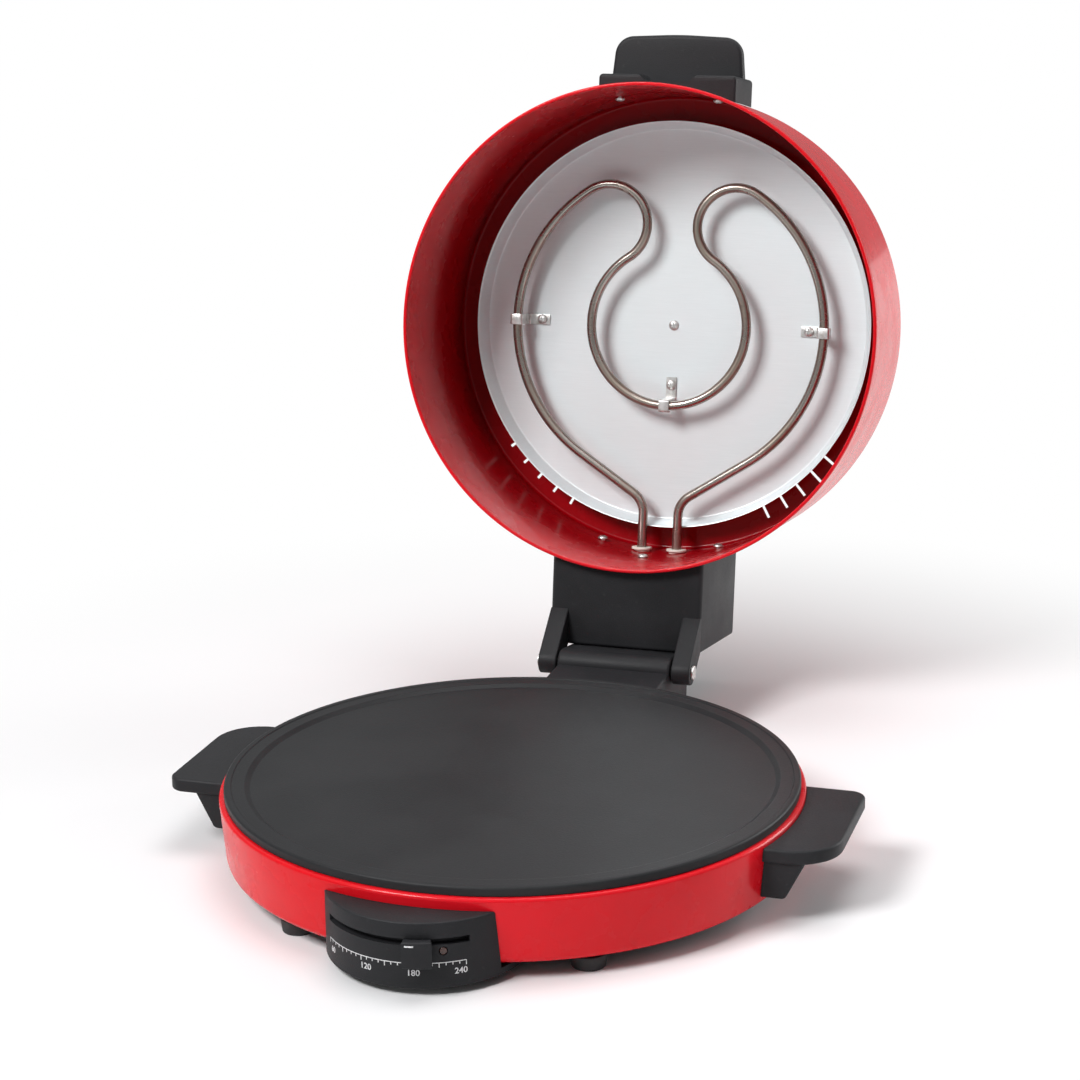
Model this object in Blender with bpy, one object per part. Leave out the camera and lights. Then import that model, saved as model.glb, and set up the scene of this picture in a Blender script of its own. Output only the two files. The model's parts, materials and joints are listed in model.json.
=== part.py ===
"""Electric roti maker: a round baking base with a deep lid that tips back on a rear hinge.

Metres, +Z up. The base frame has its zero at the middle of the shell's lip, with the
controls towards -Y and the hinge towards +Y. The lid frame has its zero at the middle of
the lid's rim, with +Z towards the lid's top, and it is modelled closed. An empty on the
hinge pin's axis tips it back to the pose it rests in.
"""

from math import asin, cos, degrees, pi, radians, sin, sqrt, tan

import bmesh
import bpy
from mathutils import Matrix, Vector

# Shared sizes
SEAT_GAP = 0.0003
CURVE_SLACK = 0.0011
OVERRUN = 0.004
WELD = 0.000001
ROUND_STEPS = 48
SMALL_STEPS = 16
SCREW_STEPS = 8
CORNER_STEPS = 2
TAB_STEPS = 5
SHARP_DEG = 35.0

# Base shell: a shallow steel drum with an open top
LIP_R = 0.165
SHELL_TAPER = 0.003
SHELL_H = 0.0373
SHELL_T = 0.001
LIP_BEND_R = 0.0016
SHELL_BEND_R = 0.004
LEDGE_W = 0.008
FLANGE_W = 0.022
ROOT_DEPTH = 0.045

# Bottom cover and feet
COVER_INSET = 0.006
COVER_T = 0.001
COVER_EDGE_T = 0.0004
FOOT_R = 0.009
FOOT_TOP_R = 0.0100
FOOT_H = 0.008
FOOT_INSET = 0.008
FOOT_ANGLE_DEG = 33.0
FOOT_BORE_R = 0.0026
FOOT_COUNTER_R = 0.0052
FOOT_COUNTER_H = 0.0042

# Cooking plate: a casting with a raised rim, three bosses underneath
PLATE_INSET = 0.003
PLATE_RISE = 0.0053
PLATE_EDGE_R = 0.0016
PLATE_LAND_W = 0.0115
PLATE_DISH = 0.0025
PLATE_SLOPE = 0.0030
PLATE_T = 0.007
BOSS_R = 0.0065
CENTRE_BOSS_H = 0.0155

# Lower element, its two clips, its heat shield and the centre bolt
LOWER_RING_INSET = 0.080
LOWER_TUBE_R = 0.0032
LOWER_LEG_X = 0.009
LOWER_LEG_GAP = 0.003
LOWER_JOIN_DEG = 24.0
LOWER_BEND_R = 0.012
CLIP_T = 0.0008
CLIP_W = 0.007
CLIP_BEND_R = 0.0012
LOWER_CLIP_BOSS_IN = 0.019
LOWER_CLIP_TAIL = 0.007
SHIELD_MARGIN = 0.023
SHIELD_FLARE = 0.004
SHIELD_LIP_H = 0.006
SHIELD_T = 0.0008
SHIELD_BEND_R = 0.0015
BOLT_R = 0.0025
BOLT_HEAD_R = 0.005
BOLT_HEAD_H = 0.0035
BOLT_BITE = 0.0115
BOLT_TIP_GAP = 0.0015
SPACER_R = 0.005

# Control housing: an upright drum in the front wall, with the lever's curved slot
DRUM_X = -0.004
DRUM_SET = 0.034
DRUM_R = 0.054
DRUM_T = 0.0022
DRUM_TOP = 0.0065
DRUM_DROP = 0.0039
DRUM_EDGE = 0.0008
WINDOW_HALF = 0.043
WINDOW_TOP = 0.008
WINDOW_SILL_RISE = 0.0043
SLOT_Z = -0.017
SLOT_H = 0.0036
DIAL_MID_DEG = -4.0
DIAL_HALF_DEG = 43.5
LEVER_REST_DEG = 13.5

# Thermostat with its lever
THERMOSTAT_R = 0.015
THERMOSTAT_H = 0.009
THERMOSTAT_NECK_R = 0.0055
THERMOSTAT_NECK_H = 0.0015
SPINDLE_R = 0.003
SPINDLE_DEPTH = 0.004
SPINDLE_TAIL = 0.0025
ARM_T = 0.002
ARM_HUB = 0.007
ARM_HALF = 0.0025
ARM_NECK = 0.014
ARM_ROUND = 0.0012
ARM_BITE = 0.0025
KNOB_GAP = 0.0005
KNOB_DEPTH = 0.0055
KNOB_W = 0.0157
KNOB_ABOVE = 0.0022
KNOB_BELOW = 0.0134
KNOB_EDGE = 0.0010

# Pilot lamp in the housing's wall
LAMP_DEG = 27.5
LAMP_Z = -0.0221
LENS_R = 0.0021
LENS_DEPTH = 0.0040
LAMP_R = 0.0028
LAMP_L = 0.008
LAMP_CHAMFER = 0.0007

# Side handles: one moulding, used twice, turned half round
HANDLE_REACH = 0.0295
HANDLE_TIGHT_Y = 0.042
HANDLE_WIDE_Y = 0.053
HANDLE_TIGHT_R = 0.009
HANDLE_WIDE_R = 0.018
HANDLE_TOP = 0.003
HANDLE_T = 0.008
HANDLE_EDGE = 0.0010
WEB_INSET = 0.002
WEB_UPPER_REACH = 0.014
WEB_LOWER_REACH = 0.0025
WEB_RISE = 0.0053
HANDLE_SCREW_Y = 0.026
HANDLE_SCREW_Z = -0.020

# Screws
SMALL_HEAD_R = 0.0034
SMALL_HEAD_H = 0.0018
SMALL_SHANK_R = 0.0016
SMALL_CLEAR = 0.0004
HEAD_CHAMFER = 0.0007
HANDLE_SCREW_L = 0.011
BRACKET_SCREW_L = 0.009
FOOT_SCREW_L = 0.013
CLIP_SCREW_L = 0.006
LOWER_CLIP_SCREW_L = 0.0055
BLOCK_SCREW_L = 0.013

# Hinge: the pin's axis, the base bracket, and the angle the lid rests at
HINGE_BACK = 0.009
HINGE_Z = -0.0035
OPEN_DEG = 99.64
PIN_R = 0.003
PIN_HEAD_R = 0.0045
PIN_HEAD_T = 0.0012
BRACKET_HALF = 0.037
BRACKET_TOP = 0.003
BRACKET_REACH = 0.040
BRACKET_WALL = 0.0035
BRACKET_FRONT_WALL = 0.007
BRACKET_ROOF = 0.0075
BRACKET_EDGE = 0.0015
BRACKET_RIB = 0.003
CROWN_START_DEG = 175.0
BRACKET_HEEL_LEAN = 0.004
BRACKET_SCREW_X = 0.022
BRACKET_SCREW_Z = -0.022

# Mains parts inside the base
GLAND_DEG = 30.0
GLAND_Z = -0.020
GLAND_R = 0.0056
GLAND_FLANGE_R = 0.008
GLAND_FLANGE_T = 0.002
GLAND_BORE_R = 0.0036
TERMINAL_HALF = 0.016
TERMINAL_SET = 0.046
TERMINAL_L = 0.014
TERMINAL_H = 0.012
TERMINAL_EDGE = 0.0007
FUSE_R = 0.0022
FUSE_L = 0.014
FUSE_INSET = 0.045

# Lid shell
LID_INSET = 0.007
LID_TAPER = 0.0031
LID_H = 0.110
LID_T = 0.0008
LID_BEND_R = 0.003
RIM_T = 0.0022
RIM_H = 0.004
RIM_ROUND = 0.0006
VENT_L = 0.0115
VENT_MARGIN = 0.0084
VENT_W = 0.0018
VENT_FIRST_DEG = 29.0
VENT_STEP_DEG = 5.75
VENT_COUNT = 5

# Reflector pan, its spacer and screw
REFLECTOR_DROP = 0.006
REFLECTOR_MARGIN = 0.0169
REFLECTOR_FLARE = 0.0045
REFLECTOR_FLANGE = 0.011
REFLECTOR_T = 0.0006
REFLECTOR_BEND_R = 0.0015

# Upper element: outer arc, two loops, inner arc and two legs, all in one plane
UPPER_DROP = 0.0155
UPPER_TUBE_R = 0.00315
UPPER_MARGIN = 0.0255
UPPER_LOOP_W = 0.052
UPPER_LOOP_DEG = 33.0
UPPER_LEG_X = 0.012
UPPER_LEG_REACH = 0.011
UPPER_JOIN_DEG = 33.0
UPPER_BEND_R = 0.016
ARC_STEP_DEG = 12.0
BUSH_R = 0.0052
BUSH_FLANGE_R = 0.0068
BUSH_FLANGE_T = 0.0016
BUSH_L = 0.007

# Upper clips: a foot on the reflector, a riser and a saddle over the tube
CLIP_FOOT = 0.0145
CLIP_SCREW_SIDE = 0.013
CLIP_HOOK = 0.005

# Lid handle
GRIP_HALF = 0.046
GRIP_REACH = 0.008
GRIP_H = 0.0475
GRIP_DROP = 0.0035
GRIP_EDGE = 0.0012
TAB_HALF = 0.043
TAB_REACH = 0.0355
TAB_DROP = 0.022
TAB_T = 0.008
TAB_R = 0.011
RECESS_HALF = 0.024
RECESS_DEPTH = 0.003
RECESS_DROP = 0.004
GRIP_SCREW_X = 0.033
GRIP_SCREW_RISE = 0.007
GRIP_ROOT_DEPTH = 0.035

# Hinge block: a hollow box on the lid's wall, with two lugs for the pin
BLOCK_HALF = 0.050
BLOCK_REACH = 0.050
BLOCK_LOW = 0.008
BLOCK_DROP = 0.006
BLOCK_WALL = 0.0025
BLOCK_EDGE = 0.0012
BLOCK_RIB = 0.0025
BLOCK_ROOT_DEPTH = 0.025
LUG_T = 0.012
LUG_R = 0.0082
LUG_DEPTH = 0.023
LUG_RISE = 0.003
BLOCK_BOSS_R = 0.0045
BLOCK_SCREW_DROPS = ((-0.040, 0.013), (-0.004, 0.042), (0.040, 0.013))

# Places that follow from the sizes
SHELL_FOOT_R = LIP_R - SHELL_TAPER
LEDGE_R = LIP_R - LEDGE_W
FLANGE_R = SHELL_FOOT_R - FLANGE_W
COVER_R = SHELL_FOOT_R - COVER_INSET
FOOT_CIRCLE_R = COVER_R - FOOT_INSET
PLATE_R = LIP_R - PLATE_INSET
PLATE_LAND_R = PLATE_R - PLATE_LAND_W
TERMINAL_Y = LIP_R - TERMINAL_SET
LOWER_RING_R = LIP_R - LOWER_RING_INSET
LOWER_LEG_END = TERMINAL_Y - LOWER_LEG_GAP
FUSE_X = LOWER_RING_R - FUSE_INSET
FUSE_Y = FUSE_INSET - LOWER_RING_R
LOWER_CLIP_BOSS = LOWER_RING_R - LOWER_CLIP_BOSS_IN
SHIELD_R = LOWER_RING_R + SHIELD_MARGIN
SHIELD_LIP_R = SHIELD_R + SHIELD_FLARE
DRUM_Y = DRUM_SET - LIP_R
WINDOW_SILL = SHELL_H - WINDOW_SILL_RISE
HANDLE_OUT = LIP_R + HANDLE_REACH
WEB_UPPER = LIP_R + WEB_UPPER_REACH
WEB_LOWER = LIP_R + WEB_LOWER_REACH
WEB_BOTTOM = SHELL_H - WEB_RISE
HANDLE_ROOT = LIP_R - ROOT_DEPTH
BRACKET_ROOT = LIP_R - ROOT_DEPTH
LID_R = PLATE_R - LID_INSET
LID_TOP_R = LID_R - LID_TAPER
VENT_OUT = LID_TOP_R - VENT_MARGIN
VENT_IN = VENT_OUT - VENT_L
REFLECTOR_Z = LID_H - REFLECTOR_DROP
REFLECTOR_LIP_R = LID_TOP_R - REFLECTOR_MARGIN
REFLECTOR_FLOOR_R = REFLECTOR_LIP_R - REFLECTOR_FLARE
UPPER_Z = REFLECTOR_Z - UPPER_DROP
UPPER_OUTER_R = REFLECTOR_FLOOR_R - UPPER_MARGIN
UPPER_INNER_R = UPPER_OUTER_R - UPPER_LOOP_W
UPPER_LEG_END = LID_R + UPPER_LEG_REACH
GRIP_OUT = LID_R + GRIP_REACH
GRIP_HIGH = LID_H - GRIP_DROP
GRIP_LOW = GRIP_HIGH - GRIP_H
GRIP_ROOT = LID_R - GRIP_ROOT_DEPTH
GRIP_SCREW_Z = GRIP_LOW + GRIP_SCREW_RISE
TAB_OUT = LID_R + TAB_REACH
TAB_Z = GRIP_HIGH - TAB_DROP
RECESS_HIGH = TAB_Z - RECESS_DROP
BLOCK_OUT = LID_R + BLOCK_REACH
BLOCK_HIGH = LID_H - BLOCK_DROP
BLOCK_ROOT = LID_R - BLOCK_ROOT_DEPTH
BLOCK_SCREWS = [(x, BLOCK_HIGH - drop) for x, drop in BLOCK_SCREW_DROPS]
LUG_FRONT = BLOCK_OUT - LUG_DEPTH
HINGE_Y = BLOCK_OUT + HINGE_BACK
PLATE_UNDER = PLATE_RISE - PLATE_DISH - PLATE_T
COVER_TOP = -SHELL_H - SEAT_GAP
COVER_UNDER = COVER_TOP - COVER_T
FOOT_TOP = COVER_UNDER - SEAT_GAP
FLOOR_Z = FOOT_TOP - FOOT_H
DRUM_FLOOR_TOP = COVER_UNDER - SEAT_GAP
DRUM_BOTTOM = DRUM_FLOOR_TOP - DRUM_DROP
BOLT_BORE_R = BOLT_R + SEAT_GAP
SHANK_BORE_R = SMALL_SHANK_R + SMALL_CLEAR
SPINDLE_BORE_R = SPINDLE_R + SEAT_GAP
PIN_BORE_R = PIN_R + SEAT_GAP
BOSS_UNDER = PLATE_UNDER - CENTRE_BOSS_H
SHIELD_TOP = BOSS_UNDER - SEAT_GAP
SHIELD_UNDER = SHIELD_TOP - SHIELD_T
LOWER_ELEMENT_Z = PLATE_UNDER - SEAT_GAP - LOWER_TUBE_R
LOWER_CLIP_Z = LOWER_ELEMENT_Z - LOWER_TUBE_R - SEAT_GAP - CLIP_T / 2
CLIP_BOSS_UNDER = LOWER_CLIP_Z + CLIP_T / 2 + SEAT_GAP
THERMOSTAT_TOP = PLATE_UNDER - SEAT_GAP
THERMOSTAT_UNDER = THERMOSTAT_TOP - THERMOSTAT_H - THERMOSTAT_NECK_H
SPINDLE_TOP = THERMOSTAT_UNDER + SPINDLE_DEPTH - SEAT_GAP
ARM_TOP = SLOT_Z + ARM_T / 2
ARM_UNDER = SLOT_Z - ARM_T / 2
KNOB_IN = DRUM_R + KNOB_GAP
KNOB_OUT = KNOB_IN + KNOB_DEPTH
RIM_Z = PLATE_RISE + SEAT_GAP
LID_WALL_R = LID_R - (RIM_T - LID_T) / 2
KNUCKLE_R = HINGE_BACK - SEAT_GAP
PIN_IN_LID_Z = HINGE_Z - RIM_Z
LUG_OUT = BLOCK_HALF
LUG_IN = BLOCK_HALF - LUG_T
CLIP_FOOT_Z = REFLECTOR_Z - SEAT_GAP - CLIP_T / 2
CLIP_SADDLE_Z = UPPER_Z - UPPER_TUBE_R - SEAT_GAP - CLIP_T / 2
REFLECTOR_BACK = REFLECTOR_Z + REFLECTOR_T
LID_INSIDE_TOP = LID_H - LID_T

# Colours and finishes
RED_ENAMEL = ((0.72, 0.008, 0.018, 1.0), 0.22, 0.0)
BLACK_PLASTIC = ((0.030, 0.030, 0.032, 1.0), 0.45, 0.0)
NON_STICK = ((0.036, 0.037, 0.040, 1.0), 0.42, 0.1)
BARE_ALUMINIUM = ((0.84, 0.85, 0.87, 1.0), 0.30, 0.9)
ELEMENT_STEEL = ((0.30, 0.27, 0.24, 1.0), 0.30, 0.9)
ZINC = ((0.62, 0.62, 0.60, 1.0), 0.35, 0.9)
DARK_STEEL = ((0.10, 0.10, 0.11, 1.0), 0.45, 0.8)
BRASS = ((0.72, 0.52, 0.22, 1.0), 0.35, 0.9)
CERAMIC = ((0.80, 0.77, 0.70, 1.0), 0.55, 0.0)
RUBBER = ((0.020, 0.020, 0.021, 1.0), 0.80, 0.0)
AMBER = ((0.75, 0.28, 0.04, 1.0), 0.15, 0.0)
CLEAR_GLASS = ((0.85, 0.70, 0.60, 1.0), 0.10, 0.0)


def clear_scene():
    for old in list(bpy.data.objects):
        bpy.data.objects.remove(old, do_unlink=True)


def empty(name, parent=None, location=(0, 0, 0), rotation=(0, 0, 0)):
    made = bpy.data.objects.new(name, None)
    made.location = location
    made.rotation_euler = rotation
    made.parent = parent
    bpy.context.scene.collection.objects.link(made)
    return made


def finish(name, finish_values):
    colour, roughness, metallic = finish_values
    made = bpy.data.materials.new(name)
    made.use_nodes = True
    shader = made.node_tree.nodes["Principled BSDF"]
    shader.inputs["Base Color"].default_value = colour
    shader.inputs["Roughness"].default_value = roughness
    shader.inputs["Metallic"].default_value = metallic
    made.diffuse_color = colour
    return made


def piece(name, bm, finish_values, parent, location=(0, 0, 0)):
    """An object from a bmesh, shaded smooth except at its real edges."""
    mesh = bpy.data.meshes.new(name)
    bmesh.ops.recalc_face_normals(bm, faces=bm.faces)
    bm.to_mesh(mesh)
    bm.free()
    mesh.shade_smooth()
    mesh.set_sharp_from_angle(angle=radians(SHARP_DEG))
    made = bpy.data.objects.new(name, mesh)
    if finish_values:
        made.data.materials.append(finish(name + "_finish", finish_values))
    made.parent = parent
    made.location = location
    bpy.context.scene.collection.objects.link(made)
    return made


def turned_mesh(outline, steps):
    """A closed outline of (radius, height) points, spun round the Z axis."""
    bm = bmesh.new()
    verts = [bm.verts.new((r, 0, z)) for r, z in outline]
    pairs = zip(verts, verts[1:] + verts[:1])
    edges = [bm.edges.new((a, b)) for a, b in pairs if a.co.x > 0 or b.co.x > 0]
    bmesh.ops.spin(
        bm, geom=verts + edges, cent=(0, 0, 0), axis=(0, 0, 1), angle=2 * pi,
        steps=steps, use_merge=True,
    )
    bmesh.ops.remove_doubles(bm, verts=bm.verts, dist=WELD)
    return bm


def turned(name, outline, finish_values, parent, steps=ROUND_STEPS, location=(0, 0, 0)):
    return piece(name, turned_mesh(outline, steps), finish_values, parent, location)


def prism_mesh(outline, axis, low, high):
    """A flat outline pushed along X, Y or Z. Its points are the other two coordinates."""
    spread = {
        "X": lambda a, b: (low, a, b),
        "Y": lambda a, b: (a, low, b),
        "Z": lambda a, b: (a, b, low),
    }[axis]
    bm = bmesh.new()
    face = bm.faces.new([bm.verts.new(spread(a, b)) for a, b in outline])
    pushed = bmesh.ops.extrude_face_region(bm, geom=[face])
    moved = [v for v in pushed["geom"] if isinstance(v, bmesh.types.BMVert)]
    along = {"X": (high - low, 0, 0), "Y": (0, high - low, 0), "Z": (0, 0, high - low)}
    bmesh.ops.translate(bm, vec=along[axis], verts=moved)
    return bm


def prism(name, outline, axis, low, high, finish_values, parent, location=(0, 0, 0)):
    bm = prism_mesh(outline, axis, low, high)
    return piece(name, bm, finish_values, parent, location)


def hidden(tool):
    tool.hide_render = True
    tool.display_type = "WIRE"
    return tool


def shape(target, tool, operation):
    """A Boolean on the target, with the tool kept out of the render."""
    cut = target.modifiers.new(tool.name, "BOOLEAN")
    cut.operation = operation
    cut.solver = "EXACT"
    cut.object = hidden(tool)


def soften(target, width):
    bevel = target.modifiers.new("Soft edges", "BEVEL")
    bevel.width = width
    bevel.segments = 2
    bevel.limit_method = "ANGLE"
    bevel.angle_limit = radians(SHARP_DEG)


def drill(target, name, holes, parent):
    """One cutter for several round holes: each is a middle, a direction, a radius, a length."""
    bm = bmesh.new()
    for middle, direction, radius, length in holes:
        turn = Vector(direction).to_track_quat("Z", "Y").to_matrix().to_4x4()
        steps = SMALL_STEPS if radius > SMALL_HEAD_R else SCREW_STEPS
        bmesh.ops.create_cone(
            bm, cap_ends=True, segments=steps, radius1=radius, radius2=radius,
            depth=length, matrix=Matrix.Translation(middle) @ turn,
        )
    shape(target, piece(name, bm, None, parent), "DIFFERENCE")


def rounded(points, radii, steps=CORNER_STEPS):
    """The points with each inner corner turned to an arc of its radius, 0 for none."""
    made = []
    for i, place in enumerate(points):
        corner = Vector(place)
        if radii[i] == 0:
            made.append(corner)
            continue
        back = (Vector(points[i - 1]) - corner).normalized()
        onward = (Vector(points[(i + 1) % len(points)]) - corner).normalized()
        half = back.angle(onward) / 2
        centre = corner + (back + onward).normalized() * radii[i] / sin(half)
        start = corner + back * radii[i] / tan(half) - centre
        end = corner + onward * radii[i] / tan(half) - centre
        sweep = start.angle(end)
        for k in range(steps + 1):
            share = k / steps
            spoke = start * sin((1 - share) * sweep) + end * sin(share * sweep)
            made.append(centre + spoke / sin(sweep))
    return made


def sheet(path, thickness):
    """The closed outline of a sheet whose middle runs along the open path."""
    left, right = [], []
    for i, place in enumerate(path):
        here = Vector(place)
        before = (here - Vector(path[i - 1])).normalized() if i else None
        after = (Vector(path[i + 1]) - here).normalized() if i + 1 < len(path) else before
        before = before or after
        across = Vector((-before.y - after.y, before.x + after.x)).normalized()
        reach = thickness / 2 / across.dot(Vector((-before.y, before.x)))
        left.append(here + across * reach)
        right.append(here - across * reach)
    return left + right[::-1]


def hull(points):
    """The convex outline round some flat points."""
    ordered = sorted((Vector(p).to_tuple() for p in points))

    def half(run):
        kept = []
        for p in run:
            while len(kept) > 1:
                a, b = kept[-2], kept[-1]
                turn = (b[0] - a[0]) * (p[1] - a[1]) - (b[1] - a[1]) * (p[0] - a[0])
                if turn > 0:
                    break
                kept.pop()
            kept.append(p)
        return kept[:-1]

    return half(ordered) + half(ordered[::-1])


def arc(centre, radius, start_deg, end_deg, steps):
    """Points on a circle, with angles from the first axis towards the second."""
    spread = [start_deg + (end_deg - start_deg) * k / steps for k in range(steps + 1)]
    return [
        (centre[0] + radius * cos(radians(a)), centre[1] + radius * sin(radians(a)))
        for a in spread
    ]


def tube(name, points, radius, finish_values, parent, location=(0, 0, 0)):
    curve = bpy.data.curves.new(name, "CURVE")
    curve.dimensions = "3D"
    curve.bevel_depth = radius
    curve.bevel_resolution = 2
    curve.use_fill_caps = True
    spline = curve.splines.new("POLY")
    spline.points.add(len(points) - 1)
    for point, place in zip(spline.points, points):
        point.co = (*place, 1)
    made = bpy.data.objects.new(name, curve)
    made.data.materials.append(finish(name + "_finish", finish_values))
    made.parent = parent
    made.location = location
    bpy.context.scene.collection.objects.link(made)
    return made


def screw(name, seat, direction, length, parent, finish_values=ZINC):
    """A pan-head screw. The seat is the middle of its head's underside, and the direction
    points out of the head."""
    outline = [
        (0, -length),
        (SMALL_SHANK_R, -length),
        (SMALL_SHANK_R, 0),
        (SMALL_HEAD_R, 0),
        (SMALL_HEAD_R, SMALL_HEAD_H - HEAD_CHAMFER),
        (SMALL_HEAD_R - HEAD_CHAMFER, SMALL_HEAD_H),
        (0, SMALL_HEAD_H),
    ]
    made = turned(name, outline, finish_values, parent, SCREW_STEPS, seat)
    made.rotation_mode = "QUATERNION"
    made.rotation_quaternion = Vector(direction).to_track_quat("Z", "Y")
    return made


def chord_y(x, radius):
    return sqrt(radius * radius - x * x)


def shell_r(z):
    """The outside radius of the shell's wall at a height below its lip."""
    return LIP_R + (SHELL_FOOT_R - LIP_R) * -z / SHELL_H


def lid_r(z):
    """The outside radius of the lid's wall at a height above its rim."""
    return LID_WALL_R + (LID_TOP_R - LID_WALL_R) * z / LID_H


# Base body

def outside_of_shell(name, low, high, parent):
    """The space the shell fills, with a seat gap round it, as a cutter."""
    outline = [
        (0, low),
        (shell_r(low) + SEAT_GAP, low),
        (LIP_R + SEAT_GAP, 0),
        (LIP_R + SEAT_GAP, high),
        (0, high),
    ]
    return turned(name, outline, None, parent)


def base_shell(parent):
    half = SHELL_T / 2
    path = rounded(
        [
            (LEDGE_R, -half),
            (LIP_R - half, -half),
            (SHELL_FOOT_R - half, half - SHELL_H),
            (FLANGE_R, half - SHELL_H),
        ],
        [0, LIP_BEND_R, SHELL_BEND_R, 0],
    )
    shell = turned("base_shell", sheet(path, SHELL_T), RED_ENAMEL, parent)
    window = [
        (DRUM_X - WINDOW_HALF, -WINDOW_SILL),
        (DRUM_X + WINDOW_HALF, -WINDOW_SILL),
        (DRUM_X + WINDOW_HALF, -WINDOW_TOP),
        (DRUM_X - WINDOW_HALF, -WINDOW_TOP),
    ]
    reach = -LIP_R - OVERRUN
    cutter = prism("shell_window", window, "Y", reach, DRUM_Y, None, parent)
    shape(shell, cutter, "DIFFERENCE")
    holes = [hole for side in (-1, 1) for hole in side_holes(side)]
    holes += [bracket_hole(x) for x in (-BRACKET_SCREW_X, BRACKET_SCREW_X)]
    holes.append((gland_place(), gland_way(), GLAND_R + SEAT_GAP, 4 * OVERRUN))
    holes += [foot_hole(x, y, -SHELL_H) for x, y in foot_places()]
    drill(shell, "shell_holes", holes, parent)
    return shell


def foot_places():
    made = []
    for turn in (-FOOT_ANGLE_DEG, FOOT_ANGLE_DEG, 180 - FOOT_ANGLE_DEG, 180 + FOOT_ANGLE_DEG):
        x = FOOT_CIRCLE_R * sin(radians(turn))
        y = -FOOT_CIRCLE_R * cos(radians(turn))
        made.append((x, y))
    return made


def foot_hole(x, y, z):
    return ((x, y, z), (0, 0, 1), SHANK_BORE_R, 2 * OVERRUN)


def bottom_cover(parent):
    outline = [
        (BOLT_BORE_R, COVER_UNDER),
        (COVER_R - COVER_EDGE_T, COVER_UNDER),
        (COVER_R, COVER_UNDER + COVER_EDGE_T),
        (COVER_R, COVER_TOP),
        (BOLT_BORE_R, COVER_TOP),
    ]
    cover = turned("bottom_cover", outline, DARK_STEEL, parent)
    drill(cover, "cover_holes", [foot_hole(x, y, COVER_TOP) for x, y in foot_places()], parent)


def feet(parent):
    outline = [
        (FOOT_COUNTER_R, 0),
        (FOOT_R, 0),
        (FOOT_TOP_R, FOOT_H),
        (FOOT_BORE_R, FOOT_H),
        (FOOT_BORE_R, FOOT_COUNTER_H),
        (FOOT_COUNTER_R, FOOT_COUNTER_H),
    ]
    names = ("front_left", "front_right", "rear_right", "rear_left")
    for name, (x, y) in zip(names, foot_places()):
        turned("foot_" + name, outline, RUBBER, parent, SMALL_STEPS, (x, y, FLOOR_Z))
        seat = (x, y, FLOOR_Z + FOOT_COUNTER_H - SEAT_GAP)
        screw("foot_screw_" + name, seat, (0, 0, -1), FOOT_SCREW_L, parent)


def cooking_plate(parent):
    land = PLATE_RISE
    surface = PLATE_RISE - PLATE_DISH
    body_r = LEDGE_R - SEAT_GAP
    bore_top = BOSS_UNDER + BOLT_BITE + BOLT_TIP_GAP
    points = [
        (0, bore_top),
        (BOLT_BORE_R, bore_top),
        (BOLT_BORE_R, BOSS_UNDER),
        (BOSS_R, BOSS_UNDER),
        (BOSS_R, PLATE_UNDER),
        (body_r, PLATE_UNDER),
        (body_r, SEAT_GAP),
        (PLATE_R, SEAT_GAP),
        (PLATE_R, land),
        (PLATE_LAND_R, land),
        (PLATE_LAND_R - PLATE_SLOPE, surface),
        (0, surface),
    ]
    radii = [0, 0, 0, 0, 0, 0, 0, 0, PLATE_EDGE_R, 0, 0, 0]
    plate = turned("cooking_plate", rounded(points, radii), NON_STICK, parent)
    boss = [
        (SHANK_BORE_R, CLIP_BOSS_UNDER),
        (BOSS_R, CLIP_BOSS_UNDER),
        (BOSS_R, surface - PLATE_T / 2),
        (0, surface - PLATE_T / 2),
        (0, PLATE_UNDER - SHANK_BORE_R / 2),
        (SHANK_BORE_R, PLATE_UNDER - SHANK_BORE_R),
    ]
    for side, x in (("left", -LOWER_CLIP_BOSS), ("right", LOWER_CLIP_BOSS)):
        tool = turned("plate_boss_" + side, boss, None, parent, SMALL_STEPS, (x, 0, 0))
        shape(plate, tool, "UNION")


def element_path(ring_r, leg_x, leg_end, join_deg, bend_r, middle):
    """The left half of an element from its leg's end to the middle of its last arc. It is a
    straight leg, a bend, a straight run that leaves the ring at join_deg, and the ring."""
    start = Vector((-ring_r * sin(radians(join_deg)), ring_r * cos(radians(join_deg))))
    corner_y = start.y + (-leg_x - start.x) * tan(radians(join_deg))
    corner = [(-leg_x, leg_end), (-leg_x, corner_y), start]
    lead = rounded(corner, [0, bend_r, 0], TAB_STEPS)
    return lead + middle


def both_sides(half_path, z):
    points = [(p[0], p[1], z) for p in half_path]
    mirror = [(-p[0], p[1], z) for p in half_path[::-1] if abs(p[0]) > WELD]
    return points + mirror


def steps_for(sweep_deg):
    return max(1, round(abs(sweep_deg) / ARC_STEP_DEG))


def lower_element(parent):
    first = 90 + LOWER_JOIN_DEG
    ring = arc((0, 0), LOWER_RING_R, first, 270, steps_for(270 - first))[1:]
    half = element_path(
        LOWER_RING_R, LOWER_LEG_X, LOWER_LEG_END, LOWER_JOIN_DEG, LOWER_BEND_R, ring
    )
    path = both_sides(half, LOWER_ELEMENT_Z)
    tube("lower_element", path, LOWER_TUBE_R, ELEMENT_STEEL, parent)


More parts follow.
